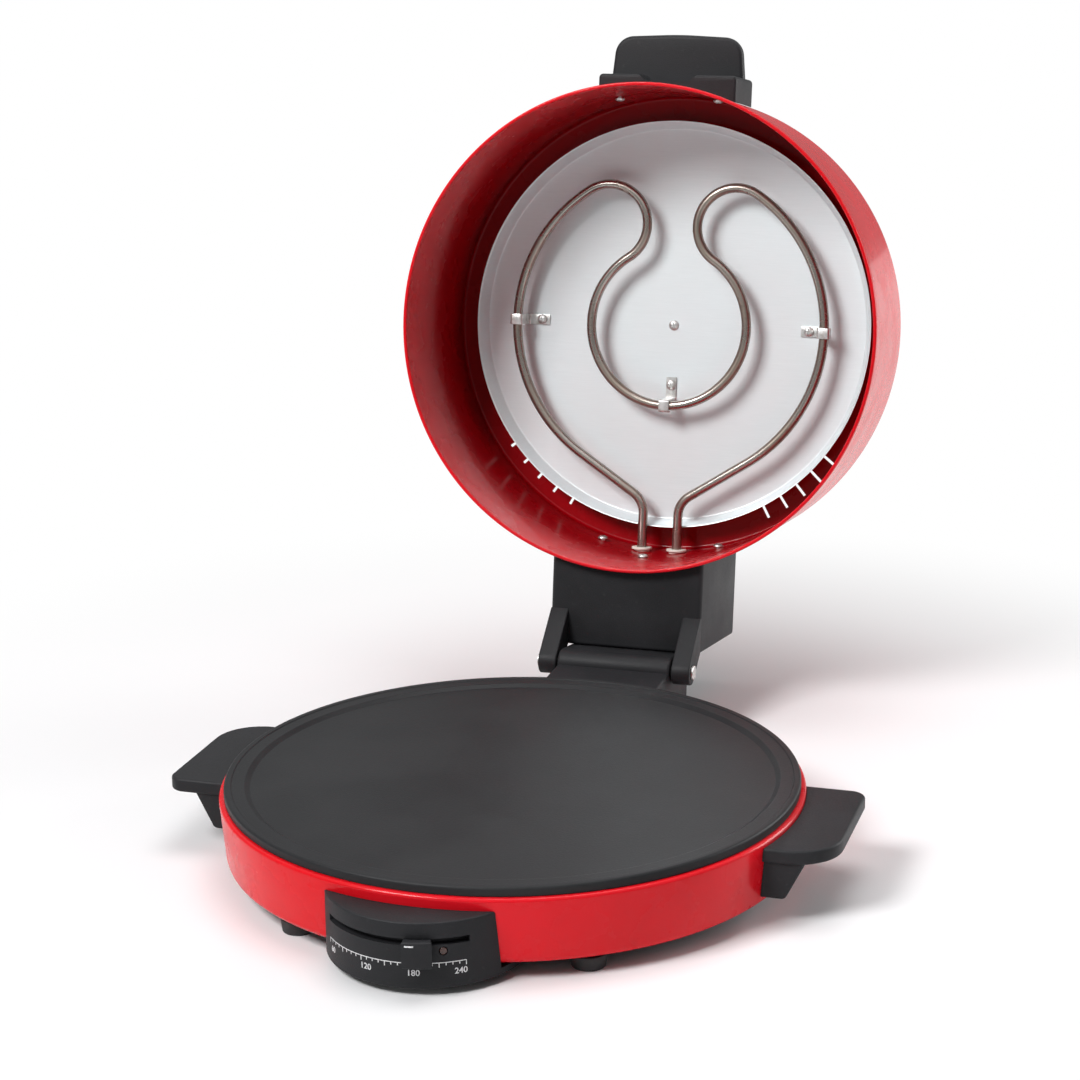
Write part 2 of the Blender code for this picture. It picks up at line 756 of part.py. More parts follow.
def lower_clips(parent):
    tail = LOWER_CLIP_BOSS - LOWER_CLIP_TAIL
    hook = LOWER_RING_R + LOWER_TUBE_R + SEAT_GAP + CLIP_T / 2
    corners = [(tail, LOWER_CLIP_Z), (hook, LOWER_CLIP_Z), (hook, LOWER_ELEMENT_Z)]
    outline = sheet(rounded(corners, [0, CLIP_BEND_R, 0]), CLIP_T)
    for side, turn in (("left", -1), ("right", 1)):
        points = [(turn * p.x, p.y) for p in outline]
        half = CLIP_W / 2
        clip = prism("lower_clip_" + side, points, "Y", -half, half, ZINC, parent)
        middle = (turn * LOWER_CLIP_BOSS, 0, LOWER_CLIP_Z)
        hole = (middle, (0, 0, 1), SHANK_BORE_R, 2 * OVERRUN)
        drill(clip, "lower_clip_hole_" + side, [hole], parent)
        seat = (middle[0], 0, LOWER_CLIP_Z - CLIP_T / 2 - SEAT_GAP)
        screw("lower_clip_screw_" + side, seat, (0, 0, -1), LOWER_CLIP_SCREW_L, parent)


def heat_shield(parent):
    middle = SHIELD_TOP - SHIELD_T / 2
    lip = (SHIELD_LIP_R, middle + SHIELD_LIP_H)
    path = rounded([(BOLT_BORE_R, middle), (SHIELD_R, middle), lip], [0, SHIELD_BEND_R, 0])
    turned("heat_shield", sheet(path, SHIELD_T), BARE_ALUMINIUM, parent)


def centre_bolt(parent):
    seat = COVER_UNDER - SEAT_GAP
    tip = BOSS_UNDER + BOLT_BITE
    outline = [
        (0, seat - BOLT_HEAD_H),
        (BOLT_HEAD_R, seat - BOLT_HEAD_H),
        (BOLT_HEAD_R, seat),
        (BOLT_R, seat),
        (BOLT_R, tip),
        (0, tip),
    ]
    turned("centre_bolt", outline, ZINC, parent, SMALL_STEPS)
    low = COVER_TOP + SEAT_GAP
    high = SHIELD_UNDER - SEAT_GAP
    wall = [(BOLT_BORE_R, low), (SPACER_R, low), (SPACER_R, high), (BOLT_BORE_R, high)]
    turned("centre_spacer", wall, ZINC, parent, SMALL_STEPS)


def control_housing(parent):
    place = (DRUM_X, DRUM_Y, 0)
    outline = [
        (0, DRUM_BOTTOM),
        (DRUM_R - DRUM_EDGE, DRUM_BOTTOM),
        (DRUM_R, DRUM_BOTTOM + DRUM_EDGE),
        (DRUM_R, -DRUM_TOP - DRUM_EDGE),
        (DRUM_R - DRUM_EDGE, -DRUM_TOP),
        (0, -DRUM_TOP),
    ]
    housing = turned("control_housing", outline, BLACK_PLASTIC, parent, ROUND_STEPS, place)
    inside = [
        (0, DRUM_FLOOR_TOP),
        (DRUM_R - DRUM_T, DRUM_FLOOR_TOP),
        (DRUM_R - DRUM_T, -DRUM_TOP - DRUM_T),
        (0, -DRUM_TOP - DRUM_T),
    ]
    hollow = turned("housing_hollow", inside, None, parent, ROUND_STEPS, place)
    shape(housing, hollow, "DIFFERENCE")
    space = outside_of_shell("housing_seat", DRUM_FLOOR_TOP, OVERRUN, parent)
    shape(housing, space, "DIFFERENCE")
    half = DIAL_HALF_DEG + degrees(asin((ARM_HALF + SEAT_GAP) / DRUM_R))
    first = DIAL_MID_DEG - half - 90
    last = DIAL_MID_DEG + half - 90
    outer = arc((0, 0), DRUM_R + OVERRUN, first, last, SMALL_STEPS // 2)
    inner = arc((0, 0), DRUM_R - DRUM_T - SHELL_T, last, first, SMALL_STEPS // 2)
    low = SLOT_Z - SLOT_H / 2
    slot = prism("housing_slot", outer + inner, "Z", low, low + SLOT_H, None, parent, place)
    shape(housing, slot, "DIFFERENCE")
    hole = (lamp_place(DRUM_R), lamp_way(), LENS_R + SEAT_GAP, 2 * LENS_DEPTH)
    drill(housing, "housing_lens_hole", [hole], parent)


def lamp_way():
    return (sin(radians(LAMP_DEG)), -cos(radians(LAMP_DEG)), 0)


def lamp_place(radius):
    way = lamp_way()
    return (DRUM_X + radius * way[0], DRUM_Y + radius * way[1], LAMP_Z)


def facing(made, direction):
    made.rotation_mode = "QUATERNION"
    made.rotation_quaternion = Vector(direction).to_track_quat("Z", "Y")


def pilot_lamp(parent):
    lens = [(0, -LENS_DEPTH), (LENS_R, -LENS_DEPTH), (LENS_R, -SEAT_GAP), (0, 0)]
    made = turned("pilot_lens", lens, AMBER, parent, SCREW_STEPS, lamp_place(DRUM_R))
    facing(made, lamp_way())
    bulb = [
        (0, -LAMP_L),
        (LAMP_R, -LAMP_L),
        (LAMP_R, -LAMP_R),
        (LAMP_R - LAMP_CHAMFER, 0),
        (0, 0),
    ]
    back = lamp_place(DRUM_R - LENS_DEPTH - SEAT_GAP)
    made = turned("pilot_lamp", bulb, CLEAR_GLASS, parent, SCREW_STEPS, back)
    facing(made, lamp_way())


def thermostat(parent):
    neck_top = THERMOSTAT_TOP - THERMOSTAT_H
    bore_top = THERMOSTAT_UNDER + SPINDLE_DEPTH
    outline = [
        (0, bore_top),
        (SPINDLE_BORE_R, bore_top),
        (SPINDLE_BORE_R, THERMOSTAT_UNDER),
        (THERMOSTAT_NECK_R, THERMOSTAT_UNDER),
        (THERMOSTAT_NECK_R, neck_top),
        (THERMOSTAT_R, neck_top),
        (THERMOSTAT_R, THERMOSTAT_TOP),
        (0, THERMOSTAT_TOP),
    ]
    place = (DRUM_X, DRUM_Y, 0)
    turned("thermostat", outline, CERAMIC, parent, SMALL_STEPS, place)


def lever(parent):
    tail = ARM_UNDER - SPINDLE_TAIL
    rod = [(0, tail), (SPINDLE_R, tail), (SPINDLE_R, SPINDLE_TOP), (0, SPINDLE_TOP)]
    turned("thermostat_spindle", rod, BRASS, parent, SMALL_STEPS)
    tip = -KNOB_IN - ARM_BITE
    half = [(ARM_HUB, ARM_HUB), (ARM_HUB, -ARM_HUB), (ARM_HALF, -ARM_NECK), (ARM_HALF, tip)]
    outline = half + [(-x, y) for x, y in half[::-1]]
    radii = [ARM_HUB / 2, ARM_ROUND, ARM_ROUND, 0, 0, ARM_ROUND, ARM_ROUND, ARM_HUB / 2]
    points = rounded(outline, radii)
    arm = prism("lever_arm", points, "Z", ARM_UNDER, ARM_TOP, DARK_STEEL, parent)
    bore = ((0, 0, SLOT_Z), (0, 0, 1), SPINDLE_BORE_R, 2 * OVERRUN)
    drill(arm, "lever_arm_bore", [bore], parent)
    spread = degrees(KNOB_W / 2 / KNOB_OUT)
    outer = arc((0, 0), KNOB_OUT, -90 - spread, -90 + spread, CORNER_STEPS + 1)
    inner = arc((0, 0), KNOB_IN, -90 + spread, -90 - spread, CORNER_STEPS + 1)
    low = SLOT_Z - KNOB_BELOW
    high = SLOT_Z + KNOB_ABOVE
    knob = prism("temperature_knob", outer + inner, "Z", low, high, BLACK_PLASTIC, parent)
    soften(knob, KNOB_EDGE)
    wide = ARM_HALF + SEAT_GAP
    pocket = [(-wide, tip - SEAT_GAP), (wide, tip - SEAT_GAP), (wide, -DRUM_R), (-wide, -DRUM_R)]
    floor = ARM_UNDER - SEAT_GAP
    cutter = prism("knob_pocket", pocket, "Z", floor, ARM_TOP + SEAT_GAP, None, parent)
    shape(knob, cutter, "DIFFERENCE")


def side_holes(side):
    wall = shell_r(HANDLE_SCREW_Z)
    return [
        ((side * wall, y, HANDLE_SCREW_Z), (1, 0, 0), SHANK_BORE_R, HANDLE_SCREW_L * 2)
        for y in (-HANDLE_SCREW_Y, HANDLE_SCREW_Y)
    ]


def side_handle(name, side, parent):
    """The tab, its web and the seat that follows the shell's wall."""
    frame = empty(name + "_frame", parent, rotation=(0, 0, 0 if side > 0 else pi))
    corners = [
        (HANDLE_ROOT, HANDLE_TIGHT_Y),
        (HANDLE_OUT, HANDLE_TIGHT_Y),
        (HANDLE_OUT, -HANDLE_WIDE_Y),
        (HANDLE_ROOT, -HANDLE_WIDE_Y),
    ]
    plan = rounded(corners, [0, HANDLE_TIGHT_R, HANDLE_WIDE_R, 0], TAB_STEPS)
    low = -HANDLE_TOP - HANDLE_T
    handle = prism(name, plan, "Z", low, -HANDLE_TOP, BLACK_PLASTIC, frame)
    soften(handle, HANDLE_EDGE)
    section = [
        (HANDLE_ROOT, -HANDLE_TOP - HANDLE_T / 2),
        (WEB_UPPER, -HANDLE_TOP - HANDLE_T / 2),
        (WEB_UPPER, low),
        (WEB_LOWER, -WEB_BOTTOM),
        (HANDLE_ROOT, -WEB_BOTTOM),
    ]
    front = WEB_INSET - HANDLE_WIDE_Y
    back = HANDLE_TIGHT_Y - WEB_INSET
    web = prism(name + "_web", section, "Y", front, back, None, frame)
    shape(handle, web, "UNION")
    seat = outside_of_shell(name + "_seat", -SHELL_H - OVERRUN, OVERRUN, parent)
    shape(handle, seat, "DIFFERENCE")
    drill(handle, name + "_holes", side_holes(side), parent)
    inside = chord_y(HANDLE_SCREW_Y, shell_r(HANDLE_SCREW_Z) - SHELL_T) - CURVE_SLACK
    for place, y in (("front", -HANDLE_SCREW_Y), ("rear", HANDLE_SCREW_Y)):
        seat = (side * inside, y, HANDLE_SCREW_Z)
        screw(name + "_screw_" + place, seat, (-side, 0, 0), HANDLE_SCREW_L, parent)


def bracket_hole(x):
    y = chord_y(BRACKET_SCREW_X, shell_r(BRACKET_SCREW_Z))
    return ((x, y, BRACKET_SCREW_Z), (0, 1, 0), SHANK_BORE_R, 2 * BRACKET_SCREW_L)


def hinge_bracket(parent):
    """The arm from the shell to the pin, the stop the open lid leans on, and the heel."""
    lean = radians(OPEN_DEG - 90)
    pin = Vector((HINGE_Y, HINGE_Z))
    up = Vector((sin(lean), cos(lean)))
    back = Vector((cos(lean), -sin(lean)))
    stop_end = pin + up * KNUCKLE_R + back * BRACKET_REACH
    over = 90 - degrees(lean)
    crown = arc(pin, KNUCKLE_R, CROWN_START_DEG, over, SMALL_STEPS // 3)
    outline = [
        (BRACKET_ROOT, FLOOR_Z),
        (BRACKET_ROOT, -BRACKET_TOP),
        *crown,
        stop_end,
        (stop_end.x - BRACKET_HEEL_LEAN, FLOOR_Z),
    ]
    half = BRACKET_HALF
    bracket = prism("hinge_bracket", outline, "X", -half, half, BLACK_PLASTIC, parent)
    soften(bracket, BRACKET_EDGE)
    front = LIP_R + BRACKET_FRONT_WALL
    rear = stop_end.x - BRACKET_HEEL_LEAN - BRACKET_WALL
    roof = HINGE_Z - PIN_BORE_R - BRACKET_ROOF
    middle = (front + rear) / 2
    rib = BRACKET_RIB / 2
    inner = half - BRACKET_WALL
    for name, y0, y1 in (("front", front, middle - rib), ("rear", middle + rib, rear)):
        room = [(y0, FLOOR_Z - OVERRUN), (y0, roof), (y1, roof), (y1, FLOOR_Z - OVERRUN)]
        for side, x0, x1 in (("left", -inner, -rib), ("right", rib, inner)):
            tool = prism("bracket_room_%s_%s" % (name, side), room, "X", x0, x1, None, parent)
            shape(bracket, tool, "DIFFERENCE")
    seat = outside_of_shell("bracket_seat", FLOOR_Z - OVERRUN, OVERRUN * 2, parent)
    shape(bracket, seat, "DIFFERENCE")
    bore = ((0, HINGE_Y, HINGE_Z), (1, 0, 0), PIN_BORE_R, 4 * half)
    screws = (-BRACKET_SCREW_X, BRACKET_SCREW_X)
    drill(bracket, "bracket_holes", [bore] + [bracket_hole(x) for x in screws], parent)
    y = chord_y(BRACKET_SCREW_X, shell_r(BRACKET_SCREW_Z) - SHELL_T) - CURVE_SLACK
    for name, x in zip(("left", "right"), screws):
        seat = (x, y, BRACKET_SCREW_Z)
        screw("hinge_bracket_screw_" + name, seat, (0, -1, 0), BRACKET_SCREW_L, parent)


def hinge_pin(parent):
    end = LUG_OUT + SEAT_GAP
    tip = end + PIN_HEAD_T
    half = [(0, -tip), (PIN_HEAD_R, -tip), (PIN_HEAD_R, -end), (PIN_R, -end)]
    outline = half + [(r, -z) for r, z in half[::-1]]
    made = turned("hinge_pin", outline, ZINC, parent, SMALL_STEPS, (0, HINGE_Y, HINGE_Z))
    made.rotation_euler = (0, pi / 2, 0)


def gland_way():
    return (sin(radians(GLAND_DEG)), cos(radians(GLAND_DEG)), 0)


def gland_place():
    wall = shell_r(GLAND_Z) - SHELL_T / 2
    return (wall * gland_way()[0], wall * gland_way()[1], GLAND_Z)


def cord_gland(parent):
    near = SHELL_T / 2 + CURVE_SLACK
    far = near + GLAND_FLANGE_T
    outline = [
        (GLAND_BORE_R, -far),
        (GLAND_FLANGE_R, -far),
        (GLAND_FLANGE_R, -near),
        (GLAND_R, -near),
        (GLAND_R, near),
        (GLAND_FLANGE_R, near),
        (GLAND_FLANGE_R, far),
        (GLAND_BORE_R, far),
    ]
    made = turned("cord_gland", outline, BLACK_PLASTIC, parent, SMALL_STEPS, gland_place())
    facing(made, gland_way())


def terminal_block(parent):
    low = COVER_TOP + SEAT_GAP
    x = TERMINAL_HALF
    outline = [(-x, low), (x, low), (x, low + TERMINAL_H), (-x, low + TERMINAL_H)]
    far = TERMINAL_Y + TERMINAL_L
    block = prism("terminal_block", outline, "Y", TERMINAL_Y, far, CERAMIC, parent)
    soften(block, TERMINAL_EDGE)


def thermal_fuse(parent):
    outline = [(0, 0), (FUSE_R, 0), (FUSE_R, FUSE_L), (0, FUSE_L)]
    place = (FUSE_X, FUSE_Y, PLATE_UNDER - SEAT_GAP - FUSE_R)
    made = turned("thermal_fuse", outline, BRASS, parent, SCREW_STEPS, place)
    made.rotation_euler = (0, pi / 2, 0)


# Lid body

def outside_of_lid(name, parent):
    """The space the lid fills, with a seat gap round it, as a cutter."""
    outline = [
        (0, -OVERRUN),
        (lid_r(0) + SEAT_GAP, -OVERRUN),
        (lid_r(0) + SEAT_GAP, 0),
        (lid_r(LID_H) + SEAT_GAP, LID_H),
        (0, LID_H),
    ]
    return turned(name, outline, None, parent)


def wall_hole(x, z, side, radius):
    return ((x, side * chord_y(x, lid_r(z)), z), (0, 1, 0), radius, 4 * OVERRUN)


def lid_shell(frame):
    inner = lid_r(0) - LID_T
    points = [
        (0, LID_H),
        (LID_TOP_R, LID_H),
        (lid_r(RIM_H), RIM_H + LID_T),
        (LID_R, RIM_H),
        (LID_R, 0),
        (LID_R - RIM_T, 0),
        (LID_R - RIM_T, RIM_H),
        (inner, RIM_H + LID_T),
        (LID_TOP_R - LID_T, LID_INSIDE_TOP),
        (0, LID_INSIDE_TOP),
    ]
    inside_bend = LID_BEND_R - LID_T
    radii = [0, LID_BEND_R, 0, 0, RIM_ROUND, RIM_ROUND, 0, 0, inside_bend, 0]
    shell = turned("lid_shell", rounded(points, radii), RED_ENAMEL, frame)
    holes = [wall_hole(x, z, 1, SHANK_BORE_R) for x, z in BLOCK_SCREWS]
    for x in (-1, 1):
        holes.append(wall_hole(x * UPPER_LEG_X, UPPER_Z, 1, BUSH_R + SEAT_GAP))
        holes.append(wall_hole(x * GRIP_SCREW_X, GRIP_SCREW_Z, -1, SHANK_BORE_R))
    drill(shell, "lid_holes", holes, frame)
    shape(shell, vent_cutter(frame), "DIFFERENCE")


def vent_cutter(frame):
    """Short radial slots in the lid's top, on both sides of the hinge."""
    bm = bmesh.new()
    middle = (VENT_IN + VENT_OUT) / 2
    size = Matrix.Diagonal((VENT_W, VENT_OUT - VENT_IN, 2 * OVERRUN, 1))
    for k in range(VENT_COUNT):
        for side in (-1, 1):
            turn = Matrix.Rotation(side * radians(VENT_FIRST_DEG + k * VENT_STEP_DEG), 4, "Z")
            place = Matrix.Translation((0, middle, LID_H))
            bmesh.ops.create_cube(bm, size=1, matrix=turn @ place @ size)
    return piece("lid_vents", bm, None, frame)


def reflector(frame):
    middle = REFLECTOR_Z + REFLECTOR_T / 2
    lip = (REFLECTOR_LIP_R, middle - REFLECTOR_FLANGE)
    corners = [(SHANK_BORE_R, middle), (REFLECTOR_FLOOR_R, middle), lip]
    path = rounded(corners, [0, REFLECTOR_BEND_R, 0])
    pan = turned("lid_reflector", sheet(path, REFLECTOR_T), BARE_ALUMINIUM, frame)
    holes = []
    for _, ring_r, turn_deg in upper_clip_places():
        way = (sin(radians(turn_deg)), cos(radians(turn_deg)))
        radius = ring_r - CLIP_SCREW_SIDE
        middle_hole = (radius * way[0], radius * way[1], REFLECTOR_Z)
        holes.append((middle_hole, (0, 0, 1), SHANK_BORE_R, 2 * OVERRUN))
    drill(pan, "reflector_holes", holes, frame)
    low = REFLECTOR_BACK + SEAT_GAP
    high = LID_INSIDE_TOP - SEAT_GAP
    wall = [(SHANK_BORE_R, low), (SPACER_R, low), (SPACER_R, high), (SHANK_BORE_R, high)]
    turned("reflector_spacer", wall, ZINC, frame, SMALL_STEPS)
    seat = (0, 0, REFLECTOR_Z - SEAT_GAP)
    screw("reflector_screw", seat, (0, 0, -1), LID_INSIDE_TOP - REFLECTOR_Z - SEAT_GAP, frame)


def upper_element(frame):
    """Leg, bend, outer arc, a half-circle loop, then the inner arc, mirrored at X = 0."""
    loop_mid = (UPPER_OUTER_R + UPPER_INNER_R) / 2
    loop_r = (UPPER_OUTER_R - UPPER_INNER_R) / 2
    first = 90 + UPPER_JOIN_DEG
    last = 270 - UPPER_LOOP_DEG
    outer = arc((0, 0), UPPER_OUTER_R, first, last, steps_for(last - first))[1:]
    centre = (loop_mid * cos(radians(last)), loop_mid * sin(radians(last)))
    loop = arc(centre, loop_r, last, last + 180, steps_for(180))[1:]
    inner = arc((0, 0), UPPER_INNER_R, last, 90, steps_for(last - 90))[1:]
    half = element_path(
        UPPER_OUTER_R, UPPER_LEG_X, UPPER_LEG_END, UPPER_JOIN_DEG, UPPER_BEND_R,
        outer + loop + inner,
    )
    tube("upper_element", both_sides(half, UPPER_Z), UPPER_TUBE_R, ELEMENT_STEEL, frame)


def upper_clip_places():
    return (
        ("left", UPPER_OUTER_R, -90.0),
        ("right", UPPER_OUTER_R, 90.0),
        ("middle", UPPER_INNER_R, 0.0),
    )


def upper_clips(frame):
    reach = UPPER_TUBE_R + SEAT_GAP + CLIP_T / 2
    half = CLIP_W / 2
    for name, ring_r, turn_deg in upper_clip_places():
        corners = [
            (ring_r - reach - CLIP_FOOT, CLIP_FOOT_Z),
            (ring_r - reach, CLIP_FOOT_Z),
            (ring_r - reach, CLIP_SADDLE_Z),
            (ring_r + reach, CLIP_SADDLE_Z),
            (ring_r + reach, CLIP_SADDLE_Z + CLIP_HOOK),
        ]
        path = rounded(corners, [0, CLIP_BEND_R, CLIP_BEND_R, CLIP_BEND_R, 0])
        holder = empty("upper_clip_frame_" + name, frame, rotation=(0, 0, -radians(turn_deg)))
        clip = prism("upper_clip_" + name, sheet(path, CLIP_T), "X", -half, half, ZINC, holder)
        middle = (0, ring_r - CLIP_SCREW_SIDE, CLIP_FOOT_Z)
        hole = (middle, (0, 0, 1), SHANK_BORE_R, 2 * OVERRUN)
        drill(clip, "upper_clip_hole_" + name, [hole], holder)
        seat = (0, middle[1], CLIP_FOOT_Z - CLIP_T / 2 - SEAT_GAP)
        screw("upper_clip_screw_" + name, seat, (0, 0, -1), CLIP_SCREW_L, holder)


def bushes(frame):
    bore = UPPER_TUBE_R + SEAT_GAP
    outline = [
        (bore, 0),
        (BUSH_R, 0),
        (BUSH_R, BUSH_L - BUSH_FLANGE_T),
        (BUSH_FLANGE_R, BUSH_L - BUSH_FLANGE_T),
        (BUSH_FLANGE_R, BUSH_L),
        (bore, BUSH_L),
    ]
    y = chord_y(UPPER_LEG_X + BUSH_FLANGE_R, lid_r(UPPER_Z) - LID_T) - SEAT_GAP
    for name, side in (("left", -1), ("right", 1)):
        place = (side * UPPER_LEG_X, y + BUSH_L - BUSH_FLANGE_T, UPPER_Z)
        made = turned("element_bush_" + name, outline, CERAMIC, frame, SMALL_STEPS, place)
        made.rotation_euler = (pi / 2, 0, 0)


def lid_handle(frame):
    front = -GRIP_OUT
    body = [
        (-GRIP_HALF, front),
        (GRIP_HALF, front),
        (GRIP_HALF, -GRIP_ROOT),
        (-GRIP_HALF, -GRIP_ROOT),
    ]
    handle = prism("lid_handle", body, "Z", GRIP_LOW, GRIP_HIGH, BLACK_PLASTIC, frame)
    soften(handle, GRIP_EDGE)
    corners = [
        (-TAB_HALF, -GRIP_ROOT),
        (-TAB_HALF, -TAB_OUT),
        (TAB_HALF, -TAB_OUT),
        (TAB_HALF, -GRIP_ROOT),
    ]
    plan = rounded(corners, [0, TAB_R, TAB_R, 0], TAB_STEPS)
    tab = prism("lid_handle_tab", plan, "Z", TAB_Z, TAB_Z + TAB_T, None, frame)
    soften(tab, GRIP_EDGE)
    shape(handle, tab, "UNION")
    deep = front + RECESS_DEPTH
    dip = [
        (-RECESS_HALF, front - OVERRUN),
        (RECESS_HALF, front - OVERRUN),
        (RECESS_HALF, deep),
        (-RECESS_HALF, deep),
    ]
    low = GRIP_LOW - OVERRUN
    cutter = prism("lid_handle_recess", dip, "Z", low, RECESS_HIGH, None, frame)
    shape(handle, cutter, "DIFFERENCE")
    shape(handle, outside_of_lid("lid_handle_seat", frame), "DIFFERENCE")
    holes = []
    y = chord_y(GRIP_SCREW_X, lid_r(GRIP_SCREW_Z) - LID_T) - CURVE_SLACK
    for name, x in (("left", -GRIP_SCREW_X), ("right", GRIP_SCREW_X)):
        tip = (x, -y, GRIP_SCREW_Z)
        holes.append((tip, (0, 1, 0), SHANK_BORE_R, 2 * (HANDLE_SCREW_L + SEAT_GAP)))
        screw("lid_handle_screw_" + name, tip, (0, 1, 0), HANDLE_SCREW_L, frame)
    drill(handle, "lid_handle_holes", holes, frame)


def hinge_block(frame):
    half = BLOCK_HALF
    body = [(-half, BLOCK_LOW), (half, BLOCK_LOW), (half, BLOCK_HIGH), (-half, BLOCK_HIGH)]
    block = prism("hinge_block", body, "Y", BLOCK_ROOT, BLOCK_OUT, BLACK_PLASTIC, frame)
    soften(block, BLOCK_EDGE)
    low = BLOCK_LOW + BLOCK_WALL
    high = BLOCK_HIGH - BLOCK_WALL
    inner = half - BLOCK_WALL
    far = BLOCK_OUT - BLOCK_WALL
    near = BLOCK_ROOT - OVERRUN
    rib = BLOCK_RIB / 2
    middle = (low + high) / 2
    for name, z0, z1 in (("low", low, middle - rib), ("high", middle + rib, high)):
        for side, x0, x1 in (("left", -inner, -rib), ("right", rib, inner)):
            room = [(x0, z0), (x1, z0), (x1, z1), (x0, z1)]
            tool = prism("block_room_%s_%s" % (name, side), room, "Y", near, far, None, frame)
            shape(block, tool, "DIFFERENCE")
    for k, (x, z) in enumerate(BLOCK_SCREWS):
        step = 360 / SCREW_STEPS
        post = arc((x, z), BLOCK_BOSS_R, 0, 360 - step, SCREW_STEPS - 1)
        end = far + BLOCK_WALL / 2
        tool = prism("block_post_%d" % k, post, "Y", BLOCK_ROOT, end, None, frame)
        shape(block, tool, "UNION")
    ring = arc((HINGE_Y, PIN_IN_LID_Z), LUG_R, 0, 360 - 360 / SMALL_STEPS, SMALL_STEPS - 1)
    root = [
        (LUG_FRONT, BLOCK_LOW),
        (LUG_FRONT, BLOCK_LOW + LUG_RISE),
        (BLOCK_OUT, BLOCK_LOW + LUG_RISE),
    ]
    outline = hull(ring + root)
    for name, start in (("left", -LUG_OUT), ("right", LUG_IN)):
        lug = prism("block_lug_" + name, outline, "X", start, start + LUG_T, None, frame)
        shape(block, lug, "UNION")
    shape(block, outside_of_lid("block_seat", frame), "DIFFERENCE")
    pin = ((0, HINGE_Y, PIN_IN_LID_Z), (1, 0, 0), PIN_BORE_R, 4 * LUG_OUT)
    holes = [pin]
    for name, (x, z) in zip(("left", "middle", "right"), BLOCK_SCREWS):
        y = chord_y(abs(x) + SMALL_HEAD_R, lid_r(z) - LID_T) - SEAT_GAP
        holes.append(((x, y, z), (0, 1, 0), SHANK_BORE_R, 2 * (BLOCK_SCREW_L + SEAT_GAP)))
        screw("hinge_block_screw_" + name, (x, y, z), (0, -1, 0), BLOCK_SCREW_L, frame)
    drill(block, "block_holes", holes, frame)


def build_base(frame):
    base_shell(frame)
    bottom_cover(frame)
    feet(frame)
    cooking_plate(frame)
    lower_element(frame)
    lower_clips(frame)
    heat_shield(frame)
    centre_bolt(frame)
    control_housing(frame)
    pilot_lamp(frame)
    thermostat(frame)
    side_handle("right_handle", 1, frame)
    side_handle("left_handle", -1, frame)
    hinge_bracket(frame)
    hinge_pin(frame)
    cord_gland(frame)
    terminal_block(frame)
    thermal_fuse(frame)


def build_lid(base):
    """The lid's pieces, modelled closed under an empty on the pin that tips them back."""
    tip = (radians(-OPEN_DEG), 0, 0)
    hinge = empty("lid_hinge", base, (0, HINGE_Y, HINGE_Z), tip)
    frame = empty("lid_frame", hinge, (0, -HINGE_Y, -PIN_IN_LID_Z))
    lid_shell(frame)
    reflector(frame)
    upper_element(frame)
    upper_clips(frame)
    bushes(frame)
    lid_handle(frame)
    hinge_block(frame)


def stand_on_floor(base):
    """Moves the whole part so that the middle of its footprint box is the origin."""
    bpy.context.view_layer.update()
    graph = bpy.context.evaluated_depsgraph_get()
    reach = []
    for made in bpy.data.objects:
        if made.type == "EMPTY" or made.hide_render:
            continue
        seen = made.evaluated_get(graph)
        mesh = seen.to_mesh()
        reach += [(made.matrix_world @ vert.co).y for vert in mesh.vertices]
        seen.to_mesh_clear()
    base.location = (0, -(min(reach) + max(reach)) / 2, -FLOOR_Z)
    bpy.context.view_layer.update()


def main():
    clear_scene()
    base = empty("base_frame")
    build_base(base)
    build_lid(base)
    turn = (0, 0, radians(LEVER_REST_DEG))
    lever(empty("lever_pivot", base, (DRUM_X, DRUM_Y, 0), turn))
    stand_on_floor(base)
    for name in ("lid_hinge", "lever_pivot"):
        place = bpy.data.objects[name].matrix_world.translation
        print(name, "axis passes", [round(c, 6) for c in place])


main()
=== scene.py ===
"""Looks of the electric roti maker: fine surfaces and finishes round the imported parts.

Metres, +Z up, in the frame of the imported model. Base pieces are worked out round the middle
of the red shell's lip, lid pieces round the middle of the closed lid's rim, and dial pieces
round the lever's pivot. A placing matrix then carries each to its place.
"""

import json
from math import atan2, cos, pi, radians, sin, sqrt, tan

import bmesh
import bpy
import numpy as np
from mathutils import Matrix, Vector


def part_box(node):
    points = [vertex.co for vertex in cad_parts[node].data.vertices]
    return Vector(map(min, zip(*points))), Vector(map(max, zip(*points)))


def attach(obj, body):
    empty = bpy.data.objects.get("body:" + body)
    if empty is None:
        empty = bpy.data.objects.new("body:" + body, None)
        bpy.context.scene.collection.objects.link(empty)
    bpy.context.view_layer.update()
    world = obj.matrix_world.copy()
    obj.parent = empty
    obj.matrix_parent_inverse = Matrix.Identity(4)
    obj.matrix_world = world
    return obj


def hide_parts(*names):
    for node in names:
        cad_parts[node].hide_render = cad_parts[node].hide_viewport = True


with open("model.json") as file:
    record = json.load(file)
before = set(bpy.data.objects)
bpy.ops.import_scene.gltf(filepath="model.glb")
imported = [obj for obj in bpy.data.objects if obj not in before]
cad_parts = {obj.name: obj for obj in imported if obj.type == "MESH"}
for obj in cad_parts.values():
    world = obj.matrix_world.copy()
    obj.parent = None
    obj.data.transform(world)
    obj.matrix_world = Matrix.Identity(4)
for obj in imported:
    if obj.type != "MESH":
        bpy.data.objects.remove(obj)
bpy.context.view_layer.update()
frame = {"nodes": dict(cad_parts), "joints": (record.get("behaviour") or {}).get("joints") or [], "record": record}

# Places read from the frame
JOINTS = {joint["name"]: joint for joint in frame["joints"]}
HINGE = Vector(JOINTS["lid_hinge"]["pos_m"])
OPEN = radians(JOINTS["lid_hinge"]["range_deg"][1])
PIVOT = Vector(JOINTS["temperature_lever"]["pos_m"])
